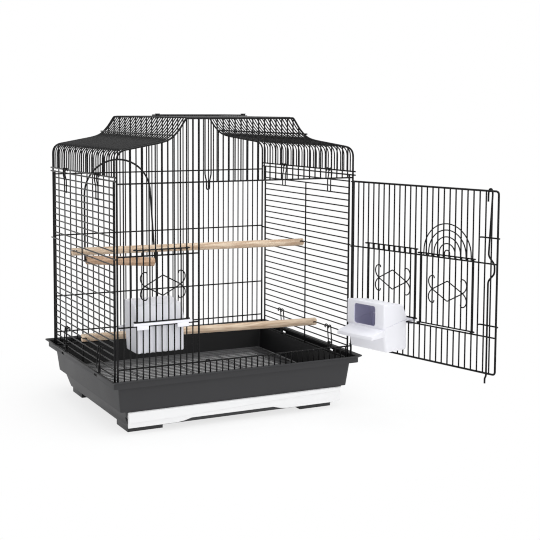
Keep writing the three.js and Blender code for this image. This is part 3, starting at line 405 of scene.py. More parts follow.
def make_finishes() -> Finishes:
    """Builds the shader groups and all materials.

    Returns:
        The finishes.
    """
    mottle, grain = build_mottle(), build_wood_grain()
    wire = Coated(
        "black_wire_coating", (0.004, 0.004, 0.0045), (0.0025, 0.0025, 0.0028),
        cloud=60.0, grain=1500.0, rough=(0.28, 0.4), bump=0.06, specular=0.19,
    )
    # Painted sheen: the grille's wires are paler than the other wires, for the light that they reflect from
    # above.
    painted_sheen_wire = Coated(
        "painted_sheen_grille_coating", (0.09, 0.09, 0.092), (0.06, 0.06, 0.062),
        cloud=60.0, grain=1500.0, rough=(0.25, 0.36), bump=0.06, specular=0.6,
    )
    tub = Coated(
        "black_tub_plastic", (0.042, 0.042, 0.044), (0.036, 0.036, 0.038),
        cloud=14.0, grain=2200.0, rough=(0.42, 0.55), bump=0.16, specular=0.2,
    )
    # Painted shade: the tub's inside and lip are darker than the tub, and reflect less, for the shade that
    # falls there.
    shade = Coated(
        "painted_shade_tub_inside", (0.008, 0.008, 0.0085), (0.006, 0.006, 0.0065),
        cloud=14.0, grain=2200.0, rough=(0.4, 0.52), bump=0.12, specular=0.12,
    )
    # White plastic. Its faint blue tint is partly painted shade, taken from the lavender-grey of the
    # feeders' shaded sides.
    white = Coated(
        "white_moulded_plastic", (0.85, 0.85, 0.89), (0.82, 0.82, 0.87),
        cloud=18.0, grain=1400.0, rough=(0.34, 0.46), bump=0.04,
    )
    # Painted light: the tray glows a little to lighten its floor, which is seen through the grille.
    pan = Coated(
        "tray_pan_painted_glow", (0.84, 0.84, 0.84), (0.81, 0.81, 0.815),
        cloud=18.0, grain=1400.0, rough=(0.34, 0.46), bump=0.03, glow=0.18,
    )
    bright = Coated(
        "bright_tray_plastic", (0.84, 0.84, 0.84), (0.81, 0.81, 0.815),
        cloud=18.0, grain=1400.0, rough=(0.34, 0.46), bump=0.03,
    )
    # Painted shade and glow: the feeders' insides are a darker lavender than the white, for the shade
    # inside them. They glow faintly for light through the thin plastic.
    painted_inside_shade = Coated(
        "painted_shade_feeder_inside", (0.65, 0.64, 0.78), (0.61, 0.6, 0.75),
        cloud=24.0, grain=1400.0, rough=(0.5, 0.62), bump=0.04, glow=0.035,
    )
    pale = Turned("pale_perch_wood", (0.84, 0.69, 0.52), (0.56, 0.39, 0.26))
    brown = Turned("brown_swing_wood", (0.74, 0.52, 0.36), (0.5, 0.32, 0.2))
    return Finishes(
        wire.make(mottle), painted_sheen_wire.make(mottle), tub.make(mottle), shade.make(mottle), white.make(mottle),
        bright.make(mottle), pan.make(mottle), painted_inside_shade.make(mottle), pale.make(grain), brown.make(grain),
    )


# Making pieces


def finish_piece(
    name: str, mesh: bmesh.types.BMesh, place: Place, body: str, node: str,
    material: bpy.types.Material, smooth: float = 50.0,
) -> bpy.types.Object:
    """Turns a mesh in millimetres into a finished piece of the scene.

    Args:
        name: the piece's name.
        mesh: its shape, which is freed.
        place: where it lies.
        body: the body that it rides on.
        node: the CAD node that it stands for.
        material: its first material.
        smooth: edges flatter than this many degrees are shaded smooth.

    Returns:
        The piece.
    """
    mesh.transform(place.matrix())
    limit = math.radians(smooth)
    for face in mesh.faces:
        face.smooth = True
    for edge in mesh.edges:
        edge.smooth = len(edge.link_faces) == 2 and edge.calc_face_angle(0.0) < limit
    data = bpy.data.meshes.new(name)
    mesh.to_mesh(data)
    mesh.free()
    data.materials.append(material)
    piece = bpy.data.objects.new(name, data)
    bpy.context.scene.collection.objects.link(piece)
    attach(piece, body)
    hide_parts(node)
    log.info("%s: %d faces on %s", name, len(data.polygons), body)
    return piece


def add_mesh(target: bmesh.types.BMesh, part: bmesh.types.BMesh) -> None:
    """Adds one mesh to another and frees it."""
    data = bpy.data.meshes.new("part")
    part.to_mesh(data)
    part.free()
    target.from_mesh(data)
    bpy.data.meshes.remove(data)


def soften(
    points: Sequence[Vector], radius: float, steps: int = 4, closed: bool = False,
) -> list[Vector]:
    """Rounds the corners of a path.

    Args:
        points: the path's corners.
        radius: how far from a corner its curve starts.
        steps: parts of each curve.
        closed: whether the path is a loop.

    Returns:
        The rounded path.
    """
    count = len(points)
    path: list[Vector] = []
    for i, corner in enumerate(points):
        if not closed and i in (0, count - 1):
            path.append(corner.copy())
            continue
        before, after = points[i - 1], points[(i + 1) % count]
        reach_in = min(radius, (before - corner).length * 0.45)
        reach_out = min(radius, (after - corner).length * 0.45)
        start = corner + (before - corner).normalized() * reach_in
        end = corner + (after - corner).normalized() * reach_out
        for step in range(steps + 1):
            t = step / steps
            path.append(start * (1 - t) ** 2 + corner * 2 * t * (1 - t) + end * t**2)
    return path


@dataclass
class Wirework:
    """Round wires gathered into one mesh.

    Args:
        sides: faces round each wire.
        mesh: the mesh that holds them, in millimetres.
    """

    sides: int = 8
    mesh: bmesh.types.BMesh = field(default_factory=bmesh.new)

    def run(
        self, points: Sequence[Vector], normal: Vector, wire: Wire,
        closed: bool = False, bend: float = 0.0, steps: int = 4,
    ) -> None:
        """Adds a wire along a path that lies in one plane.

        Args:
            points: the path.
            normal: the plane's normal.
            wire: the wire's size.
            closed: whether it is a loop.
            bend: size of the rounded corners, or 0 for sharp ones.
            steps: parts of each rounded corner.
        """
        path = soften(points, bend, steps, closed) if bend > 0 else list(points)
        frames = self.frames(path, normal.normalized(), wire.value, closed)
        strand = bmesh.new()
        bmesh.ops.create_circle(
            strand, cap_ends=not closed, segments=self.sides, radius=1.0, matrix=frames[0],
        )
        start = edges = strand.edges[:]
        for before, after in zip(frames, frames[1:]):
            grown = bmesh.ops.extrude_edge_only(strand, edges=edges)["geom"]
            verts = [item for item in grown if isinstance(item, bmesh.types.BMVert)]
            edges = [
                item for item in grown
                if isinstance(item, bmesh.types.BMEdge) and all(vert in verts for vert in item.verts)
            ]
            bmesh.ops.transform(strand, matrix=after @ before.inverted(), verts=verts)
        if closed:
            bmesh.ops.bridge_loops(strand, edges=start + edges)
        else:
            bmesh.ops.contextual_create(strand, geom=edges)
        bmesh.ops.recalc_face_normals(strand, faces=strand.faces)
        add_mesh(self.mesh, strand)

    def frames(
        self, path: Sequence[Vector], normal: Vector, radius: float, closed: bool,
    ) -> list[Matrix]:
        """Gives the cross-section's frame at each point of a path.

        Args:
            path: the points.
            normal: the unit normal of their plane.
            radius: the wire's radius.
            closed: whether the path is a loop.

        Returns:
            One matrix a point.
        """
        count = len(path)
        made = []
        for i, here in enumerate(path):
            inward = (here - path[i - 1]) if closed or i > 0 else path[1] - here
            outward = (path[(i + 1) % count] - here) if closed or i < count - 1 else inward
            inward, outward = inward.normalized(), outward.normalized()
            along = (inward + outward).normalized()
            side = along.cross(normal).normalized()
            stretch = 1 / max(along.dot(inward), MITRE)
            made.append(Matrix((
                (*(side * radius * stretch), 0), (*(normal * radius), 0), (*along, 0), (*here, 1),
            )).transposed())
        return made

    def line(self, start: Sequence[float], end: Sequence[float], wire: Wire) -> None:
        """Adds a straight wire between two points."""
        first, last = Vector(start), Vector(end)
        along = (last - first).normalized()
        self.run([first, last], X if abs(along.x) < 0.9 else Y, wire)


def arc(
    centre: Vector, axis: Vector, radius: float, start: float, end: float, steps: int,
) -> list[Vector]:
    """Gives the points of an arc.

    Args:
        centre: the arc's centre.
        axis: its axis, X or Y or Z.
        radius: its radius.
        start: first angle in degrees, from X, or from Y where the axis is X.
        end: last angle.
        steps: number of parts.

    Returns:
        The points.
    """
    across = Y if abs(axis.x) > 0.5 else X
    up = Y if abs(axis.z) > 0.5 else Z
    points = []
    for i in range(steps + 1):
        angle = math.radians(start + (end - start) * i / steps)
        points.append(centre + across * radius * math.cos(angle) + up * radius * math.sin(angle))
    return points


def prism(
    outline: Iterable[Sequence[float]], across: Vector, up: Vector, start: float, end: float,
) -> bmesh.types.BMesh:
    """Makes a closed prism from an outline.

    Args:
        outline: pairs along the two axes.
        across: the first axis.
        up: the second axis.
        start: where it starts along the third axis.
        end: where it ends.

    Returns:
        The mesh.
    """
    shape = bmesh.new()
    out = across.cross(up)
    verts = [shape.verts.new(across * a + up * b + out * start) for a, b in outline]
    face = shape.faces.new(verts)
    grown = bmesh.ops.extrude_face_region(shape, geom=[face])["geom"]
    moved = [item for item in grown if isinstance(item, bmesh.types.BMVert)]
    bmesh.ops.translate(shape, vec=out * (end - start), verts=moved)
    bmesh.ops.recalc_face_normals(shape, faces=shape.faces)
    return shape


def block(low: Sequence[float], high: Sequence[float]) -> bmesh.types.BMesh:
    """Makes a block between two corners."""
    return prism(
        [(low[0], low[1]), (high[0], low[1]), (high[0], high[1]), (low[0], high[1])], X, Y, low[2], high[2],
    )


def bevel(
    shape: bmesh.types.BMesh, geom: Sequence[object], width: float, segments: int, affect: str = "EDGES",
) -> None:
    """Bevels edges or corners with a round profile.

    Args:
        shape: the mesh.
        geom: its edges or vertices.
        width: the bevel's width.
        segments: its parts.
        affect: EDGES or VERTICES.
    """
    bmesh.ops.bevel(
        shape, geom=geom, offset=width, offset_type="OFFSET", segments=segments, profile=0.5,
        affect=affect, clamp_overlap=True, material=-1,
    )


def round_edges(shape: bmesh.types.BMesh, width: float, segments: int = 2, angle: float = 30.0) -> None:
    """Bevels the edges of a mesh that are sharper than an angle.

    Args:
        shape: the mesh.
        width: the bevel's width.
        segments: its parts.
        angle: the least angle, in degrees.
    """
    limit = math.radians(angle)
    edges = [e for e in shape.edges if len(e.link_faces) == 2 and e.calc_face_angle(0.0) > limit]
    bevel(shape, edges, width, segments)


# Roof outline


@dataclass(frozen=True)
class RoofShape:
    """The outline of the roof, from one corner post over the top to the other.

    Args:
        half: half the width between the posts.
        corner: height where the post's line meets the slope's.
        bends: size of the rounding at each corner, from the shoulder to the flat top.
        slope_end: inner end of the gentle slope.
        slope_top: its height there.
        scoop: the hollow's middle point.
        scoop_end: the hollow's upper end.
        plateau: half width and height of the flat top.
    """

    half: float = 240.0
    corner: float = 506.6
    bends: tuple[float, float, float, float, float] = (17.0, 16.0, 7.0, 7.0, 2.5)
    slope_end: float = 151.0
    slope_top: float = 522.5
    scoop: tuple[float, float] = (136.75, 528.6)
    scoop_end: tuple[float, float] = (122.5, 543.0)
    plateau: tuple[float, float] = (108.5, 564.0)

    def right(self, lift: float) -> list[tuple[float, float]]:
        """Gives the corners of the right half, lifted off the outline."""
        return [
            (self.half + lift, self.corner + lift), (self.slope_end, self.slope_top + lift),
            (self.scoop[0], self.scoop[1] + lift), (self.scoop_end[0], self.scoop_end[1] + lift),
            (self.plateau[0], self.plateau[1] + lift),
        ]

    def path(self, y: float, foot: float, lift: float = 0.0) -> list[Vector]:
        """Gives the whole outline as a smooth path.

        Args:
            y: the plane that it lies in.
            foot: height of its two ends.
            lift: how far outside the outline it runs.

        Returns:
            The points, from right to left.
        """
        right = self.right(lift)
        corners = [Vector((self.half + lift, y, foot)), *(Vector((a, y, b)) for a, b in right)]
        corners.append(Vector((0.0, y, right[-1][1])))
        points = [corners[0]]
        for i, bend in enumerate(self.bends, start=1):
            points.extend(soften(corners[i - 1:i + 2], bend, 6)[1:-1])
        return points + [Vector((-p.x, p.y, p.z)) for p in reversed(points)]

    def height(self, x: float) -> float:
        """Gives the outline's height over a place along the front."""
        path = self.path(0.0, 0.0)
        for first, last in zip(path, path[1:]):
            if last.x <= x <= first.x and first.x > last.x:
                share = (first.x - x) / (first.x - last.x)
                return first.z + share * (last.z - first.z)
        return self.plateau[1]


# Cage walls


@dataclass
class CageBody:
    """The welded wire walls, the roof and the floor grille.

    Args:
        roof: the roof's outline.
        pitch: distance between bars.
        bars: number of gaps between bars along the front.
        depth: half the depth of the cage.
        foot: height of the lowest wire.
        rails: heights of the front's lower, feeder, middle and upper rails.
        back_rails: heights of the back's rails.
        opening: the bar at the doorway's free side.
        feeder: the bars at the two sides of the front's feeder opening.
        sides: number of gaps between the side walls' level bars.
        side_top: height of the side walls' top rail.
        side_out: distance of the side walls outside the corner posts' line.
        side_inset: distance of their end wires from the corner posts.
        hinge_stop: how far the right wall's heavier bar runs past its end wire, towards the hinge.
        thick: the side walls' heavier bar.
        offset: distance from bars to rails.
        roof_rail: height of the roof's lowest rails.
        rail_out: distance of those rails outside the corner posts' line.
        rail_over: how far the roof's rails run past the front and the back.
        high_rail: the roof's upper rails, as X and height.
        roof_bars: number of the roof's bars on each side of its middle one.
        roof_pitch: distance between the roof's bars.
        roof_lift: distance of the roof's bars outside the outline.
    """

    roof: RoofShape = field(default_factory=RoofShape)
    pitch: float = 12.0
    bars: int = 40
    depth: float = 189.0
    foot: float = 95.45
    rails: tuple[float, float, float, float] = (121.5, 196.3, 321.7, 449.8)
    back_rails: tuple[float, float, float, float] = (121.5, 196.3, 322.0, 448.0)
    opening: int = 13
    feeder: tuple[int, int] = (3, 11)
    sides: int = 29
    side_top: float = 454.6
    side_out: float = 0.6
    side_inset: float = 14.0
    hinge_stop: float = 1.6
    thick: int = 18
    offset: float = 2.25
    roof_rail: float = 461.4
    rail_out: float = 3.2
    rail_over: float = 3.4
    high_rail: tuple[float, float] = (135.8, 534.1)
    roof_bars: int = 15
    roof_pitch: float = 11.8125
    roof_lift: float = 1.1

    def bar_x(self, index: float) -> float:
        """Gives a bar's place along the front."""
        return index * self.pitch - self.roof.half

    def side_z(self, index: float) -> float:
        """Gives the height of a level bar of the side walls."""
        return self.foot + index * (self.side_top - self.foot) / self.sides

    def edge(self, work: Wirework, y: float) -> None:
        """Adds the edge wire round a front or back wall."""
        path = self.roof.path(y, self.foot)
        foot = soften([path[-2], path[-1], path[0], path[1]], 4.0, 4)[1:-1]
        work.run(path[1:-1] + foot, Y, Wire.EDGE, closed=True)

    def upright(self, work: Wirework, x: float, y: float, low: float, high: float) -> None:
        """Adds one bar of a front or back wall."""
        work.line((x, y, low), (x, y, high), Wire.BAR)

    def front(self) -> Wirework:
        """Draws the front wall with its doorway, feeder opening and latch loops."""
        work = Wirework()
        y, rails = -self.depth, self.rails
        self.edge(work, y)
        for i in range(1, self.bars):
            x = self.bar_x(i)
            top = self.roof.height(x)
            if i == self.opening:
                work.line((x, y, self.foot), (x, y, top), Wire.EDGE)
            elif self.feeder[0] < i < self.feeder[1]:
                self.upright(work, x, y, self.foot, rails[1] + LAP)
                self.upright(work, x, y, rails[2] - LAP, top)
            elif i < self.opening:
                self.upright(work, x, y, self.foot, top)
            elif i > self.opening + 2:
                self.upright(work, x, y, self.foot, rails[0] + LAP)
                self.upright(work, x, y, rails[3] - LAP, top)
        self.loops(work, y)
        rail_y, half = y + self.offset, self.roof.half
        post = self.bar_x(self.opening) + LAP
        for z, end in zip(rails, (half, post, post, half)):
            work.line((-half, rail_y, z), (end, rail_y, z), Wire.RAIL)
        return work

    def loops(self, work: Wirework, y: float) -> None:
        """Adds the narrow loops over and under the free edge of the door."""
        first, second = self.bar_x(self.opening + 1), self.bar_x(self.opening + 2)
        left, right = (first + second) / 2 - 3.0, (first + second) / 2 + 3.0
        shoulder, neck, tip = 463.0, 451.0, 436.5
        upper = [
            (first, self.roof.height(first)), (first, shoulder), (left, neck), (left, tip),
            (right, tip), (right, neck), (second, shoulder), (second, self.roof.height(second)),
        ]
        flare, neck, tip = 2.0, 120.0, 125.2
        lower = [
            (left - flare, self.foot), (left - flare, neck), (left, tip),
            (right, tip), (right + flare, neck), (right + flare, self.foot),
        ]
        for pairs in (upper, lower):
            work.run([Vector((a, y, b)) for a, b in pairs], Y, Wire.BAR, bend=2.6)

    def back(self) -> Wirework:
        """Draws the back wall."""
        work = Wirework()
        self.edge(work, self.depth)
        for i in range(1, self.bars):
            self.upright(work, self.bar_x(i), self.depth, self.foot, self.roof.height(self.bar_x(i)))
        y = self.depth - self.offset
        for z in self.back_rails:
            work.line((-self.roof.half, y, z), (self.roof.half, y, z), Wire.RAIL)
        return work

    def side(self, way: int) -> Wirework:
        """Draws a side wall.

        Args:
            way: 1 for the right wall, -1 for the left one.

        Returns:
            Its wires.
        """
        work = Wirework()
        x = way * (self.roof.half + self.side_out)
        edge = self.depth - self.side_inset
        for y in (-edge, edge):
            work.line((x, y, self.foot - OVERRUN), (x, y, self.side_top + OVERRUN), Wire.EDGE)
        for i in range(self.sides):
            if i != self.thick:
                z = self.side_z(i)
                work.line((x, -edge, z), (x, edge, z), Wire.BAR)
        inner, y = x - way * self.offset, -way * 10.0
        top = self.side_z(self.sides - 2)
        work.line((inner, y, self.foot - OVERRUN), (inner, y, top), Wire.RAIL)
        outer, far = way * (self.roof.half + self.rail_out), self.depth + self.rail_over
        for z in (self.side_z(self.thick), self.side_top):
            at_hinge = way > 0 and z < self.side_top
            front = edge + self.hinge_stop if at_hinge else far
            work.line((outer, -front, z), (outer, far, z), Wire.RAIL)
        return work

    def cover(self) -> Wirework:
        """Draws the roof's wires and its four rails."""
        work = Wirework()
        foot = self.roof_rail - OVERRUN
        for i in range(-self.roof_bars, self.roof_bars + 1):
            work.run(self.roof.path(i * self.roof_pitch, foot, self.roof_lift), Y, Wire.ROOF)
        reach = self.depth + self.rail_over
        low = (self.roof.half + self.rail_out, self.roof_rail)
        for way in (-1, 1):
            for x, z in (low, self.high_rail):
                work.line((way * x, -reach, z), (way * x, reach, z), Wire.RAIL)
        return work

    def grille(self) -> Wirework:
        """Draws the floor grille."""
        work = Wirework(sides=6)
        z, wide, deep, gaps = 48.45, 227.2, 178.2, 30
        outline = [(-wide, -deep), (wide, -deep), (wide, deep), (-wide, deep)]
        work.run([Vector((a, b, z)) for a, b in outline], Z, Wire.EDGE, closed=True, bend=11.0)
        for i in range(1, gaps):
            y = -deep + 2 * deep * i / gaps
            work.line((-wide, y, z), (wide, y, z), Wire.BAR)
        for x in (-110.0, 0.0, 110.0):
            work.line((x, -deep, z - self.offset), (x, deep, z - self.offset), Wire.RAIL)
        return work

    def build(self, finishes: Finishes) -> None:
        """Builds and dresses the cage's walls, roof and grille.

        Args:
            finishes: the materials.
        """
        drawn = {
            "front_panel": self.front(), "back_panel": self.back(), "left_side_panel": self.side(-1),
            "right_side_panel": self.side(1), "roof_panel": self.cover(), "floor_grille": self.grille(),
        }
        for node, work in drawn.items():
            # The grille's wires take the paler coating, which is a painted sheen.
            coating = finishes.painted_sheen_wire if node == "floor_grille" else finishes.wire
            finish_piece(f"{node}_wires", work.mesh, CAGE, "cage", node, coating)


# Tub and tray


@dataclass
class TubAndTray:
    """The moulded tub, and the tray that slides out of its foot.

    Args:
        half_width: half the width of the tray's white front.
        top: height of its upper edge.
        bottom: height of its lower edge.
        face: Y of its face.
        thick: its thickness.
        relief: how far its raised wave stands out.
    """

    half_width: float = 219.5
    top: float = 42.6
    bottom: float = 13.9
    face: float = -185.1
    thick: float = 3.0
    relief: float = 0.6

    def softened(self, node: str, width: float, segments: int) -> bmesh.types.BMesh:
        """Copies a node's mesh, merges it and rounds its edges.

        Args:
            node: the CAD node.
            width: the rounding's width in millimetres.
            segments: its parts.

        Returns:
            The mesh, in the cage's millimetres.
        """
        shape = bmesh.new()
        shape.from_mesh(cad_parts[node].data)
        bmesh.ops.remove_doubles(shape, verts=shape.verts, dist=0.00001)
        bmesh.ops.dissolve_limit(
            shape, angle_limit=math.radians(1.0), verts=shape.verts, edges=shape.edges,
        )
        round_edges(shape, width * MM, segments)
        shape.transform(CAGE.matrix().inverted())
        return shape

    def is_inside(self, face: bmesh.types.BMFace) -> bool:
        """Tells whether a face of the tub looks into the cage or up from its lip. These faces get the
        painted shade.
        """
        middle, normal = face.calc_center_median(), face.normal
        upward = normal.z > 0.5 and middle.z > self.top + self.thick
        # A wall looks inward where its normal points back over 60 mm or more to the middle.
        inward = min(normal.x * middle.x, normal.y * middle.y) < -60.0
        return upward or inward

    def front(self) -> bmesh.types.BMesh:
        """Draws the white front with its raised wave and the hollow in its lower edge."""
        left, right, slope = -124.0, 100.0, 28.0
        foot, knee, arch, sunk = self.bottom, self.bottom + 1.925, self.bottom + 5.5, 2.0
        outline = [
            (-self.half_width, self.top), (-self.half_width, foot), (left, foot),
            (left + slope / 2, knee), (left + slope, arch), (right - slope, arch),
            (right - slope / 2, knee), (right, foot), (self.half_width, foot),
            (self.half_width, self.top),
        ]
        plate = prism(outline, X, Z, -self.face - self.thick, -self.face)
        round_edges(plate, 0.7)
        reach, level, swell, steps = self.half_width - 0.6, (self.top + self.bottom) / 2 + 0.6, 5.6, 60
        wave = []
        for i in range(steps + 1):
            share = i / steps
            wave.append((reach * (2 * share - 1), level - swell * math.cos(share * math.pi)))
        wave += [(reach, self.top - 0.5), (-reach, self.top - 0.5)]
        raised = prism(wave, X, Z, -self.face - self.relief, -self.face + sunk)
        round_edges(raised, 0.9, 3)
        add_mesh(plate, raised)
        return plate

    def build(self, finishes: Finishes) -> None:
        """Builds and dresses the tub, the tray and its front.

        Args:
            finishes: the materials.
        """
        tub = self.softened("base_tub", 0.7, 2)
        # The faces inside and on the lip take the second material, which is painted shade.
        for face in tub.faces:
            face.material_index = 1 if self.is_inside(face) else 0
        shell = finish_piece(
            "tub_shell", tub, CAGE, "cage", "base_tub", finishes.tub, smooth=40.0,
        )
        shell.data.materials.append(finishes.shade)
        # The tray box takes the glowing pan material, which is painted light.
        finish_piece(
            "tray_box", self.softened("tray", 0.6, 2), CAGE, "tray_body", "tray",
            finishes.pan,
        )
        finish_piece(
            "tray_face", self.front(), CAGE, "tray_body", "tray_front", finishes.bright,
        )


# Feeders


@dataclass
class Feeder:
    """A cup under a hood, hung over a rail.

    Its own origin is on the rail's axis in the plane of the bars, with Y into the cage.

    Args:
        name: the first word of its nodes' names.
        place: where it hangs.
        body: the body that it rides on.
        width: its width.
        wall: its wall's thickness.
        stand_off: distance from the bars' plane to its wall that faces them.
        floor: height of the cup's floor.
        floor_depth: the cup's depth at its floor.
        rim: height of its rim at the bars.
        rim_depth: its depth at its rim, and the hood's.
        rim_fall: how far the rim falls from the bars into the cage.
        corner: size of its rounded corners.
        flutes: number of grooves in its wall at the bars.
        groove: their depth.
    """

    name: str
    place: Place
    body: str
    width: float = 92.0
    wall: float = 1.8
    stand_off: float = 4.8
    floor: float = -50.5
    floor_depth: float = 56.0
    rim: float = 6.0
    rim_depth: float = 65.0
    rim_fall: float = 11.3
    corner: float = 6.0
    flutes: int = 8
    groove: float = 3.4

    def cup(self) -> bmesh.types.BMesh:
        """Draws the fluted cup, open at the top, with its rim, guard, ledge and tabs."""
        half, back, low = self.width / 2, self.stand_off, self.floor
        shape = bmesh.new()
        front = back + self.floor_depth
        corners = [(-half, back), (half, back), (half, front), (-half, front)]
        face = shape.faces.new([shape.verts.new((a, b, low)) for a, b in corners])
        bevel(shape, list(face.verts), self.corner, 4, "VERTICES")
        self.cut_flutes(shape, half - self.corner)
        floor = max(shape.faces, key=lambda f: f.calc_area())
        grown = bmesh.ops.extrude_face_region(shape, geom=[floor], use_keep_orig=True)["geom"]
        rim = [item for item in grown if isinstance(item, bmesh.types.BMVert)]
        lids = [item for item in grown if isinstance(item, bmesh.types.BMFace)]
        grow, fall = self.rim_depth / self.floor_depth, self.rim_fall / self.floor_depth
        tilt = Matrix.Identity(4)
        tilt[1][1] = grow
        tilt[1][3] = back * (1 - grow)
        tilt[2][1] = -fall
        tilt[2][3] = self.rim + back * fall - low
        bmesh.ops.transform(shape, matrix=tilt, verts=rim)
        bmesh.ops.delete(shape, geom=lids, context="FACES_ONLY")
        bmesh.ops.recalc_face_normals(shape, faces=shape.faces)
        bottom = [
            e for e in shape.edges
            if len(e.link_faces) == 2 and all(abs(v.co.z - low) < 0.01 for v in e.verts)
        ]
        bevel(shape, bottom, 3.0, 3)
        self.wall_with_painted_inside(shape)
        for part in self.trim():
            add_mesh(shape, part)
        return shape

    def cut_flutes(self, shape: bmesh.types.BMesh, reach: float) -> None:
        """Presses the grooves into the floor's edge at the bars.

        Args:
            shape: the floor.
            reach: how far they go on each side of the middle.
        """
        at_bars = [e for e in shape.edges if all(self.is_at_bars(v) for v in e.verts)]
        longest = max(at_bars, key=lambda e: e.calc_length())
        bmesh.ops.subdivide_edges(shape, edges=[longest], cuts=self.flutes * 6 - 1)
        for vert in shape.verts:
            if self.is_at_bars(vert) and abs(vert.co.x) < reach:
                share = (vert.co.x + reach) / (2 * reach)
                wave = 0.5 - 0.5 * math.cos(share * self.flutes * 2 * math.pi)
                bmesh.ops.translate(shape, vec=(0.0, self.groove * wave, 0.0), verts=[vert])

    def is_at_bars(self, vert: bmesh.types.BMVert) -> bool:
        """Tells whether a vertex lies in the wall that faces the bars."""
        return abs(vert.co.y - self.stand_off) < 0.01

    def wall_with_painted_inside(self, shape: bmesh.types.BMesh) -> None:
        """Gives an open shell its wall, with the second material, painted shade and glow, on the inside.

        Args:
            shape: the shell, whose faces are its outside.
        """
        outer = set(shape.faces[:])
        bmesh.ops.solidify(shape, geom=shape.faces[:], thickness=self.wall)
        # The inside faces take the second material, which is painted shade.
        for face in shape.faces:
            face.material_index = 0 if face in outer else 1

    def trim(self) -> list[bmesh.types.BMesh]:
        """Draws the guard shelf and its cheeks, the flange over the rail, the ledge and its tabs."""
        half, front = self.width / 2, self.stand_off + self.rim_depth
        guard = prism(
            [(front - 1.2, -7.4), (front + 27.6, -14.6), (front + 31.0, -16.4), (front + 31.6, -22.6),
             (front + 29.6, -22.6), (front + 28.8, -18.2), (front + 26.8, -16.6), (front - 1.2, -9.6)],
            Y, Z, -half, half - self.corner,
        )
        flange = block((-44.0, -4.2, 1.65), (44.0, self.stand_off + 0.9, 3.85))
        ledge = block((-56.5, -6.45, 2.45), (56.5, -1.95, 6.85))
        cheek = [(front - 3.0, -8.6), (front + 29.6, -16.6), (front + 31.0, -22.6), (front - 3.0, -20.4)]
        parts = [guard, flange, ledge]
        for end in (self.wall - half, half - self.corner):
            parts.append(prism(cheek, Y, Z, end - self.wall, end))
        for way in (-1, 1):
            near, far = sorted((way * 49.5, way * 27.5))
            parts.append(block((near, -6.45, -5.15), (far, -4.6, 3.8)))
        for part in parts:
            round_edges(part, 0.6)
        return parts

    def hood(self) -> bmesh.types.BMesh:
        """Draws the hood with its leaning back and the rounded window in its inner wall."""
        half, back, front = self.width / 2, self.stand_off, self.stand_off + self.rim_depth
        shape = prism(
            [(back, 6.55), (front, -5.15), (front, 40.0), (back + 13.0, 34.0)], Y, Z, -half, half,
        )
        seams = [f for f in shape.faces if f.normal.z < -0.7]
        bmesh.ops.delete(shape, geom=seams, context="FACES_ONLY")
        wall = max(shape.faces, key=lambda f: f.normal.y * f.calc_area())
        rim = list(wall.edges)
        bmesh.ops.delete(shape, geom=[wall], context="FACES_ONLY")
        corners = [(-25.0, -3.2), (27.0, -3.2), (27.0, 33.4), (-25.0, 33.4)]
        window = shape.faces.new([shape.verts.new((a, front, b)) for a, b in corners])
        middle = window.calc_center_median()
        bevel(shape, list(window.verts), 5.0, 4, "VERTICES")
        window = min(shape.faces, key=lambda f: (f.calc_center_median() - middle).length)
        rim += list(window.edges)
        bmesh.ops.delete(shape, geom=[window], context="FACES_ONLY")
        bmesh.ops.triangle_fill(shape, use_beauty=True, edges=rim)
        round_edges(shape, 2.2, 3, 20.0)
        bmesh.ops.recalc_face_normals(shape, faces=shape.faces)
        self.wall_with_painted_inside(shape)
        return shape

    def build(self, finishes: Finishes) -> None:
        """Builds and dresses the feeder.

        Args:
            finishes: the materials.
        """
        for part, shape in (("cup", self.cup()), ("hood", self.hood())):
            piece = finish_piece(
                f"{self.name}_{part}_shell", shape, self.place, self.body, f"{self.name}_{part}",
                finishes.white, smooth=40.0,
            )
            # The feeders' insides take the painted shade and glow.
            piece.data.materials.append(finishes.painted_inside_shade)


# Small sliding doors


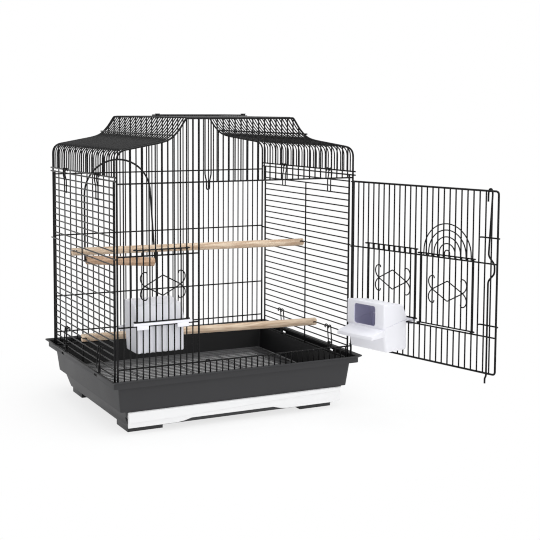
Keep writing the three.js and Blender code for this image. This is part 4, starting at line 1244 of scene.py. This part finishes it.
@dataclass
class SlidingDoor:
    """A small door of bars over a feeder opening, hooked round the bars beside it.

    Args:
        node: its CAD node.
        body: the body that it is.
        place: the middle of the opening at the ground.
        pitch: distance between its bars.
        gaps: number of gaps between them.
        bottom: height of its lowest wire.
        height: its height.
        out: depth of its bars.
        hook: depth of its hooks' ends, behind the bars that they slide on.
        front: depth of its ornament.
    """

    node: str
    body: str
    place: Place
    pitch: float
    gaps: int
    bottom: float
    height: float = 128.3
    out: float = -2.8
    hook: float = 2.7
    front: float = -4.85

    def ornament(self, work: Wirework) -> None:
        """Adds the diamond and the scrolls at its two points."""
        y, z = self.front, self.bottom + self.height / 2
        wide, high = 34.5, 18.3
        corners = [(-wide, 0.0), (0.0, high), (wide, 0.0), (0.0, -high)]
        work.run([Vector((a, y, z + b)) for a, b in corners], Y, Wire.FINE, closed=True, bend=1.5)
        curl = [
            (4.6, 20.0), (4.0, 24.0), (0.0, 25.2), (-5.4, 22.6), (-8.4, 16.8), (-8.2, 10.6),
            (-5.0, 4.6), (0.4, 0.0),
        ]
        for way in (-1, 1):
            upper = [Vector((way * (wide - a), y, z + b)) for a, b in curl]
            lower = [Vector((v.x, y, 2 * z - v.z)) for v in reversed(upper[:-1])]
            work.run(upper + lower, Y, Wire.FINE, bend=2.6, steps=3)

    def build(self, finishes: Finishes) -> None:
        """Builds and dresses the door.

        Args:
            finishes: the materials.
        """
        work = Wirework()
        half, top, out = self.gaps * self.pitch / 2, self.bottom + self.height, self.out
        for i in range(self.gaps + 1):
            x = i * self.pitch - half
            work.line((x, out, self.bottom), (x, out, top), Wire.BAR)
        end, tip, hook = half + 4.6, half - 0.4, self.hook
        path = [(-tip, hook), (-end, hook), (-end, out), (end, out), (end, hook), (tip, hook)]
        for z in (self.bottom, top):
            work.run([Vector((a, b, z)) for a, b in path], Z, Wire.BAR, bend=2.0)
        self.ornament(work)
        finish_piece(
            f"{self.node}_wires", work.mesh, self.place, self.body, self.node, finishes.wire,
        )


# Main door


@dataclass
class MainDoor:
    """The large front door, its hinge eyes, sunburst and latch rod.

    The door lies along negative X from its hinge line, with its inside towards Y.

    Args:
        pitch: distance between bars.
        first: distance from the hinge line to the first bar.
        gaps: number of gaps between bars.
        bottom: height of its lowest wire.
        top: height of its highest wire.
        middle: height of its middle rail.
        feeder_rail: height of its lower rail.
        bar_y: depth of its bars from the hinge plane.
        rail_y: depth of its rails.
        rod_y: depth of its latch rod.
        openings: the bars at the two sides of each feeder opening.
        guides: the bars that the latch rod's guides reach between.
        guide_heights: heights of the two guides.
        corner: size of its rounded corners.
        eye: radius of its eyes round the corner post.
    """

    pitch: float = 12.98
    first: float = -2.5
    gaps: int = 26
    bottom: float = 125.5
    top: float = 442.3
    middle: float = 317.5
    feeder_rail: float = 190.0
    bar_y: float = -5.85
    rail_y: float = -3.55
    rod_y: float = -9.2
    openings: tuple[tuple[int, int], tuple[int, int]] = ((3, 12), (13, 22))
    guides: tuple[int, int] = (23, 26)
    guide_heights: tuple[float, float] = (361.0, 208.0)
    corner: float = 6.0
    eye: float = 2.95

    def x(self, index: float) -> float:
        """Gives the place of a bar."""
        return -(self.first + index * self.pitch)

    def frame_wires(self, work: Wirework) -> None:
        """Adds the outline, the bars and the two rails."""
        y, start, end = self.bar_y, self.x(0), self.x(self.gaps)
        outline = [
            Vector((start, y, self.bottom)), Vector((end, y, self.bottom)),
            Vector((end, y, self.top)), Vector((start, y, self.top)),
        ]
        path = [outline[0], *soften(outline, self.corner, 6)[1:-1], outline[3]]
        work.run(path, Y, Wire.EDGE, closed=True)
        for i in range(1, self.gaps):
            x = self.x(i)
            if any(first < i < last for first, last in self.openings):
                work.line((x, y, self.bottom), (x, y, self.feeder_rail + LAP), Wire.BAR)
                work.line((x, y, self.middle - LAP), (x, y, self.top), Wire.BAR)
            else:
                work.line((x, y, self.bottom), (x, y, self.top), Wire.BAR)
        for z in (self.middle, self.feeder_rail):
            work.line((start, self.rail_y, z), (end, self.rail_y, z), Wire.RAIL)

    def eyes(self, work: Wirework) -> None:
        """Adds the eyes round the corner post, and the wires that carry them."""
        for z in (self.bottom, self.middle, self.top):
            eye = arc(Vector((0, 0, z)), Z, self.eye, -90.0, 210.0, 14)
            work.run([Vector((self.x(1), self.rail_y, z)), *eye], Z, Wire.FINE)
            work.line((self.x(1), self.bar_y, z), (self.x(1), self.rail_y, z), Wire.FINE)

    def sunburst(self, work: Wirework) -> None:
        """Adds the five bows over the right feeder opening."""
        centre, lift = self.x(17.8), 8.5
        for radius in (5.8, 17.6, 29.6, 41.8, 53.0):
            bow = arc(Vector((centre, self.rail_y, self.middle + lift)), Y, radius, 0.0, 180.0, 20)
            start = Vector((centre + radius, self.rail_y, self.middle))
            end = Vector((centre - radius, self.rail_y, self.middle))
            work.run([start, *bow, end], Y, Wire.FINE)

    def rod_guides(self, work: Wirework) -> None:
        """Adds the two bowed wires that hold the latch rod."""
        near, far = (self.x(bar) for bar in self.guides)
        out = self.rod_y - 3.05
        path = [(near, self.bar_y), (near, out), (far, out), (far, self.bar_y)]
        for z in self.guide_heights:
            work.run([Vector((a, b, z)) for a, b in path], Z, Wire.RAIL, bend=3.0)

    def rod(self) -> Wirework:
        """Draws the latch rod with its hooked top, bowed grip and stepped tip."""
        work = Wirework(sides=10)
        y = self.rod_y
        pairs = [
            (311.0, 423.5), (311.0, 439.5), (313.3, 445.6), (317.7, 445.6), (320.0, 439.5),
            (314.0, 330.0), (327.0, 316.0), (327.0, 300.0), (314.0, 286.0), (314.0, 131.0),
        ]
        work.run([Vector((-a, y, b)) for a, b in pairs], Y, Wire.ROD, bend=5.0)
        tip = [(y, 133.0), (y, 120.0), (y + 3.5, 116.5), (y + 3.5, 107.5)]
        work.run([Vector((-314.0, a, b)) for a, b in tip], X, Wire.ROD, bend=2.0)
        return work

    def build(self, finishes: Finishes) -> None:
        """Builds and dresses the door and its rod.

        Args:
            finishes: the materials.
        """
        work = Wirework()
        for add in (self.frame_wires, self.eyes, self.sunburst, self.rod_guides):
            add(work)
        finish_piece(
            "main_door_wires", work.mesh, DOOR, "door", "main_door", finishes.wire,
        )
        finish_piece(
            "latch_rod_wire", self.rod().mesh, DOOR, "rod", "latch_rod", finishes.wire,
        )


# Perches and swing


@dataclass
class Perch:
    """A wooden dowel whose slotted ends hold a level bar of each side wall.

    Args:
        node: its CAD node.
        height: height of the bar in its slots.
        left: Y of its left end.
        right: Y of its right end.
        drop: how far its axis lies below the slots.
        radius: its radius.
        reach: distance of its ends from the middle, along the front.
        slot: how deep its slots go.
        slot_half: half their width.
    """

    node: str
    height: float
    left: float
    right: float
    drop: float = 0.0
    radius: float = 7.5
    reach: float = 244.0
    slot: float = 9.0
    slot_half: float = 1.5

    def build(self, finishes: Finishes) -> None:
        """Builds and dresses the perch.

        Args:
            finishes: the materials.
        """
        across = self.right - self.left
        length = math.hypot(2 * self.reach, across)
        shape = dowel(length, self.radius)
        for way in (-1, 1):
            fork_end(shape, way * length / 2, way, self.slot, self.drop, self.slot_half)
        turn = math.degrees(math.atan2(across, 2 * self.reach))
        place = Place((0.0, (self.left + self.right) / 2, self.height - self.drop), turn)
        finish_piece(f"{self.node}_dowel", shape, place, "cage", self.node, finishes.pale)


def dowel(length: float, radius: float) -> bmesh.types.BMesh:
    """Makes a dowel along X with softly rounded ends.

    Args:
        length: its length.
        radius: its radius.

    Returns:
        The mesh.
    """
    shape = bmesh.new()
    bmesh.ops.create_cone(
        shape, cap_ends=True, segments=24, radius1=radius, radius2=radius, depth=length,
        matrix=Matrix.Rotation(math.pi / 2, 4, "Y"),
    )
    round_edges(shape, 0.9, 3, 60.0)
    return shape


def fork_end(
    shape: bmesh.types.BMesh, end: float, way: int, depth: float, level: float, half: float,
) -> None:
    """Cuts a level slot into the end of a dowel.

    Args:
        shape: the dowel.
        end: X of the end.
        way: 1 for the right end, -1 for the left one.
        depth: how deep the slot goes.
        level: height of its middle over the dowel's axis.
        half: half its width.
    """
    inner = end - way * depth
    for point, normal in ((Z * (level + half), Z), (Z * (level - half), Z), (X * inner, X)):
        bmesh.ops.bisect_plane(
            shape, geom=shape.verts[:] + shape.edges[:] + shape.faces[:], dist=0.0001,
            plane_co=point, plane_no=normal,
        )
    slot = []
    for face in shape.faces:
        middle = face.calc_center_median()
        if way * (middle.x - inner) > 0 and abs(middle.z - level) < half:
            slot.append(face)
    bmesh.ops.delete(shape, geom=slot, context="FACES")
    rims = [e for e in shape.edges if e.is_boundary]
    upper = [e for e in rims if all(v.co.z > level + half - 0.01 for v in e.verts)]
    lower = [e for e in rims if all(v.co.z < level - half + 0.01 for v in e.verts)]
    for edges in (upper, lower):
        bmesh.ops.edgeloop_fill(shape, edges=close_across(shape, edges))
    bmesh.ops.holes_fill(shape, edges=[e for e in shape.edges if e.is_boundary], sides=0)
    bmesh.ops.recalc_face_normals(shape, faces=shape.faces)


def close_across(
    shape: bmesh.types.BMesh, edges: list[bmesh.types.BMEdge],
) -> list[bmesh.types.BMEdge]:
    """Joins the two free ends of an open edge loop.

    Args:
        shape: the mesh.
        edges: the loop.

    Returns:
        The closed loop.
    """
    verts = {v for e in edges for v in e.verts}
    ends = [v for v in verts if sum(1 for e in v.link_edges if e in edges) == 1]
    if len(ends) == 2:
        edges = edges + [shape.edges.get(ends) or shape.edges.new(ends)]
    return edges


@dataclass
class Swing:
    """A bow of wire that hangs on a roof wire, with a wooden bar between its feet.

    Args:
        x: its middle along the front.
        y: the roof wire's place.
        half: half its width at the bow.
        top: height of the bow's top.
        shoulder: height where the bow starts.
        left: the left foot, as X and height.
        right: the right foot.
        pivot: height of the roof wire.
        pin: length of the bent ends in the bar.
        radius: the bar's radius.
        eye: radius of the eye that hangs on the roof wire.
        drop: how far the eye's middle lies below that wire's.
        steps: parts of the bow.
    """

    x: float = -139.5
    y: float = 82.6875
    half: float = 69.4
    top: float = 480.0
    shoulder: float = 412.0
    left: tuple[float, float] = (-208.9, 282.75)
    right: tuple[float, float] = (-60.1, 270.05)
    pivot: float = 528.57
    pin: float = 6.0
    radius: float = 9.0
    eye: float = 3.3
    drop: float = 0.4
    steps: int = 24

    def build(self, finishes: Finishes) -> None:
        """Builds and dresses the swing.

        Args:
            finishes: the materials.
        """
        work = Wirework()
        bow = []
        for i in range(self.steps + 1):
            angle = math.pi * i / self.steps
            rise = (self.top - self.shoulder) * math.sin(angle)
            bow.append(Vector((self.x + self.half * math.cos(angle), self.y, self.shoulder + rise)))
        left, right = (Vector((a, self.y, b)) for a, b in (self.left, self.right))
        along = (right - left).normalized()
        first, last = right - along * self.pin, left + along * self.pin
        work.run([first, right, *bow, left, last], Y, Wire.EDGE)
        hung = Vector((self.x, self.y, self.pivot - self.drop))
        eye = arc(hung, X, self.eye, 200.0, -90.0, 16)
        work.run([*eye, Vector((self.x, self.y, self.top))], X, Wire.ROD)
        finish_piece("swing_bow", work.mesh, CAGE, "swing", "swing_wire", finishes.wire)
        bar = dowel((right - left).length - self.pin, self.radius)
        tilt = math.atan2(left.z - right.z, right.x - left.x)
        bmesh.ops.rotate(bar, verts=bar.verts, matrix=Matrix.Rotation(tilt, 3, "Y"))
        place = Place(tuple((left + right) / 2))
        finish_piece("swing_bar", bar, place, "swing", "swing_perch", finishes.brown)


# Handle and clips


@dataclass
class Handle:
    """The folding wire handle and the brackets that hold it.

    Args:
        half: distance of a bracket from the middle.
        y: the pivot's place.
        z: the pivot's height.
        reach: length of the handle.
        seat: height of the brackets' feet.
        pin: how far the handle's ends reach past the middle of the brackets.
        strap: the brackets' blocks, as half width, near and far end, bottom and top.
    """

    half: float = 92.0
    y: float = -11.8125
    z: float = 568.35
    reach: float = 58.0
    seat: float = 566.85
    pin: float = 4.0
    strap: tuple[tuple[float, float, float, float, float], ...] = (
        (3.0, -13.0, -1.9, 0.0, 1.2), (3.0, 1.9, 13.0, 0.0, 1.2), (3.0, -4.2, -1.9, 0.0, 4.2),
        (3.0, 1.9, 4.2, 0.0, 4.2), (3.8, -4.2, 4.2, 3.5, 4.7),
    )

    def bracket(self, way: int) -> bmesh.types.BMesh:
        """Draws one bracket: a strap over the roof with two posts and a cap.

        Args:
            way: 1 for the right bracket, -1 for the left one.

        Returns:
            The mesh.
        """
        x, y, z = way * self.half, self.y, self.seat
        shape = bmesh.new()
        for half, near, far, bottom, top in self.strap:
            part = block((x - half, y + near, z + bottom), (x + half, y + far, z + top))
            round_edges(part, 0.35, 1)
            add_mesh(shape, part)
        return shape

    def build(self, finishes: Finishes) -> None:
        """Builds and dresses the handle and its brackets.

        Args:
            finishes: the materials.
        """
        work = Wirework(sides=10)
        end, leg, corner = self.half + self.pin, self.half - 6.0, self.half - 12.0
        path = [
            (-end, 0.0), (-leg, 0.0), (-corner, self.reach), (corner, self.reach), (leg, 0.0), (end, 0.0),
        ]
        work.run([Vector((a, self.y + b, self.z)) for a, b in path], Z, Wire.HANDLE, bend=5.0)
        finish_piece(
            "handle_wire", work.mesh, CAGE, "handle", "carrying_handle", finishes.wire,
        )
        for way, side in ((-1, "left"), (1, "right")):
            finish_piece(
                f"handle_bracket_{side}_plate", self.bracket(way), CAGE, "cage",
                f"handle_bracket_{side}", finishes.wire,
            )


@dataclass(frozen=True)
class Clip:
    """One kind of wire loop that holds a side wall, drawn for the right wall.

    Args:
        kind: the first word of its nodes' names.
        axis: the wire that it hangs on, as X and height.
        spread: distance of its middle from the middle of the wall.
        half: distance of its legs from its middle.
        eye: radius of the eyes round that wire.
        tail: the corners of its legs below the eyes, as X and height.
    """

    kind: str
    axis: tuple[float, float]
    spread: float
    half: float
    eye: float
    tail: tuple[tuple[float, float], ...]

    def draw(self, way: int, end: int) -> Wirework:
        """Draws one clip.

        Args:
            way: 1 for the right wall, -1 for the left one.
            end: 1 for the back, -1 for the front.

        Returns:
            Its wires.
        """
        work = Wirework()
        middle = end * self.spread
        near, far = middle - self.half, middle + self.half
        for y in (near, far):
            curl = arc(Vector((self.axis[0], y, self.axis[1])), Y, self.eye, 250.0, 0.0, 12)
            path = [*curl, *(Vector((x, y, z)) for x, z in self.tail)]
            work.run([Vector((way * p.x, p.y, p.z)) for p in path], Y, Wire.CLIP)
        x, z = self.tail[-1]
        work.line((way * x, near, z), (way * x, far, z), Wire.CLIP)
        return work


@dataclass
class Clips:
    """The loops that hold the side walls to the roof and to the tub.

    Args:
        kinds: the two kinds of loop.
    """

    kinds: tuple[Clip, Clip] = (
        Clip("top", (243.2, 461.4), 94.5, 5.906, 2.75, ((245.95, 451.0), (243.65, 440.0), (243.65, 417.0))),
        Clip("bottom", (240.6, 144.98), 100.0, 6.5, 3.05, ((246.6, 108.2),)),
    )

    def build(self, finishes: Finishes) -> None:
        """Builds and dresses all eight clips.

        Args:
            finishes: the materials.
        """
        for way, side in ((-1, "left"), (1, "right")):
            for end, where in ((-1, "front"), (1, "back")):
                for clip in self.kinds:
                    node = f"{clip.kind}_clip_{side}_{where}"
                    finish_piece(
                        f"{node}_wire", clip.draw(way, end).mesh, CAGE, f"{node}_body", node,
                        finishes.wire,
                    )


# Stage


@dataclass
class Studio:
    """The camera, the light and the floor.

    Args:
        spot: the camera's place, in millimetres about the middle of the cage.
        yaw: its turn from Y towards X, in radians.
        pitch: how far it looks down.
        roll: its roll.
        focal: its focal length in pixels of a picture 540 wide.
        centre: the pixel that it looks at.
        picture: the width of that picture in pixels.
        sensor: the width of its sensor in millimetres.
        lamps: each lamp's name, place in metres, side in metres and power in watts.
    """

    spot: tuple[float, float, float] = (-893.0, -1995.3, 580.4)
    yaw: float = 0.45386
    pitch: float = 0.08655
    roll: float = 0.00274
    focal: float = 1105.279
    centre: tuple[float, float] = (235.0, 205.0)
    picture: float = 540.0
    sensor: float = 36.0
    lamps: tuple[tuple[str, tuple[float, float, float], float, float], ...] = (
        ("top_softbox", (0.2, -0.3, 2.6), 2.4, 34.0),
        ("front_softbox", (0.5, -2.6, 1.2), 1.8, 22.0),
        ("right_softbox", (2.4, -1.6, 1.3), 1.8, 12.0),
    )

    def camera(self) -> None:
        """Sets up the photograph's camera."""
        data = bpy.data.cameras.new("photo_camera")
        data.sensor_fit = "HORIZONTAL"
        data.sensor_width = self.sensor
        data.lens = self.focal * self.sensor / self.picture
        data.shift_x = (self.picture / 2 - self.centre[0]) / self.picture
        data.shift_y = (self.centre[1] - self.picture / 2) / self.picture
        data.clip_end = 50.0
        forward = Vector((
            math.sin(self.yaw) * math.cos(self.pitch), math.cos(self.yaw) * math.cos(self.pitch),
            -math.sin(self.pitch),
        ))
        right = Vector((math.cos(self.yaw), -math.sin(self.yaw), 0.0))
        up = right.cross(forward)
        side = right * math.cos(self.roll) + up * math.sin(self.roll)
        top = up * math.cos(self.roll) - right * math.sin(self.roll)
        camera = bpy.data.objects.new("photo_camera", data)
        turn = Matrix((side, top, -forward)).transposed().to_4x4()
        camera.matrix_world = Matrix.Translation((Vector(self.spot) + SHIFT) * MM) @ turn
        bpy.context.scene.collection.objects.link(camera)
        bpy.context.scene.camera = camera

    def lamp(self, name: str, spot: Vector, target: Vector, size: float, power: float) -> None:
        """Adds a square soft lamp.

        Args:
            name: its name.
            spot: where it hangs, in metres.
            target: where it points.
            size: its side.
            power: its power in watts.
        """
        data = bpy.data.lights.new(name, "AREA")
        data.size = size
        data.energy = power
        lamp = bpy.data.objects.new(name, data)
        lamp.location = spot
        lamp.rotation_euler = (target - spot).to_track_quat("-Z", "Y").to_euler()
        bpy.context.scene.collection.objects.link(lamp)

    def world(self) -> None:
        """Lights the scene evenly, and shows white behind it and in its reflections."""
        world = bpy.data.worlds.new("studio_world")
        bpy.context.scene.world = world
        world.use_nodes = True
        nodes, links = world.node_tree.nodes, world.node_tree.links
        light = nodes["Background"]
        light.inputs["Color"].default_value = (0.97, 0.98, 1.0, 1.0)
        light.inputs["Strength"].default_value = 0.62
        white = nodes.new("ShaderNodeBackground")
        white.inputs["Color"].default_value = (1.0, 1.0, 1.0, 1.0)
        rays = nodes.new("ShaderNodeLightPath")
        seen = rays.outputs["Is Camera Ray"]
        for kind in ("Is Glossy Ray", "Is Transmission Ray"):
            either = nodes.new("ShaderNodeMath")
            either.operation = "MAXIMUM"
            links.new(seen, either.inputs[0])
            links.new(rays.outputs[kind], either.inputs[1])
            seen = either.outputs[0]
        mix = nodes.new("ShaderNodeMixShader")
        links.new(seen, mix.inputs["Fac"])
        links.new(light.outputs[0], mix.inputs[1])
        links.new(white.outputs[0], mix.inputs[2])
        links.new(mix.outputs[0], nodes["World Output"].inputs["Surface"])

    def floor(self) -> None:
        """Lays the pale floor, which fades to white away from the feet."""
        shape = bmesh.new()
        bmesh.ops.create_grid(shape, x_segments=1, y_segments=1, size=9.0)
        data = bpy.data.meshes.new("studio_floor")
        shape.to_mesh(data)
        shape.free()
        material = bpy.data.materials.new("studio_floor")
        material.use_nodes = True
        nodes, links = material.node_tree.nodes, material.node_tree.links
        shader = nodes["Principled BSDF"]
        shader.inputs["Base Color"].default_value = (1.0, 1.0, 1.0, 1.0)
        shader.inputs["Roughness"].default_value = 0.9
        shader.inputs["Specular IOR Level"].default_value = 0.1
        glow, mix = nodes.new("ShaderNodeEmission"), nodes.new("ShaderNodeMixShader")
        glow.inputs["Color"].default_value = (1.0, 1.0, 1.0, 1.0)
        coords, away = nodes.new("ShaderNodeTexCoord"), nodes.new("ShaderNodeVectorMath")
        away.operation = "DISTANCE"
        # The middle of the cage, in metres.
        away.inputs[1].default_value = (0.1775, 0.13, 0.0)
        fade = nodes.new("ShaderNodeMapRange")
        fade.interpolation_type = "SMOOTHSTEP"
        fade.inputs["From Min"].default_value = 0.12
        fade.inputs["From Max"].default_value = 0.62
        fade.inputs["To Min"].default_value = 0.72
        links.new(coords.outputs["Object"], away.inputs[0])
        links.new(away.outputs["Value"], fade.inputs["Value"])
        links.new(fade.outputs["Result"], mix.inputs["Fac"])
        links.new(shader.outputs["BSDF"], mix.inputs[1])
        links.new(glow.outputs["Emission"], mix.inputs[2])
        links.new(mix.outputs["Shader"], nodes["Material Output"].inputs["Surface"])
        data.materials.append(material)
        floor = bpy.data.objects.new("studio_floor", data)
        floor.location = (0.0, 0.0, -0.0004)
        bpy.context.scene.collection.objects.link(floor)

    def build(self) -> None:
        """Builds the camera, light and floor."""
        self.camera()
        self.world()
        middle = Vector((0.18, 0.0, 0.3))
        for name, spot, size, power in self.lamps:
            self.lamp(name, Vector(spot), middle, size, power)
        self.floor()
        bpy.context.scene.view_settings.view_transform = "Standard"
        bpy.context.scene.cycles.filter_width = 1.1


# Everything


def main() -> None:
    """Builds the cage's pieces in order."""
    Studio().build()
    finishes = make_finishes()
    walls, door = CageBody(), MainDoor()
    walls.build(finishes)
    door.build(finishes)
    TubAndTray().build(finishes)
    panel_x = walls.bar_x(sum(walls.feeder) / 2)
    plain_x, sunny_x = (door.x(sum(opening) / 2) for opening in door.openings)
    # The door's cup hangs a little off the middle of its opening.
    cup_shift = 1.0
    panel_cup = Place((panel_x, -walls.depth, walls.rails[1]))
    door_cup = door_place(plain_x - cup_shift, door.bar_y, door.feeder_rail)
    Feeder("panel_feeder", panel_cup, "cage").build(finishes)
    Feeder("door_feeder", door_cup, "door").build(finishes)
    panel = Place((panel_x, -walls.depth, 0.0))
    plain, sunny = door_place(plain_x, door.bar_y), door_place(sunny_x, door.bar_y)
    doors = (
        SlidingDoor("panel_feeder_door", "panel_feeder_door_body", panel, walls.pitch, 8, 204.6),
        SlidingDoor("door_feeder_door", "door_feeder_door_body", plain, door.pitch, 9, 198.3),
        SlidingDoor("door_empty_feeder_door", "empty_feeder_door_body", sunny, door.pitch, 9, 192.75),
    )
    for small in doors:
        small.build(finishes)
    Perch("upper_perch", walls.side_z(17), 56.0, 12.0, 2.5).build(finishes)
    Perch("lower_perch", walls.side_z(4), 0.0, -45.0).build(finishes)
    Swing().build(finishes)
    Handle().build(finishes)
    Clips().build(finishes)
    log.info("all pieces built")


if __name__ == "__main__":
    main()
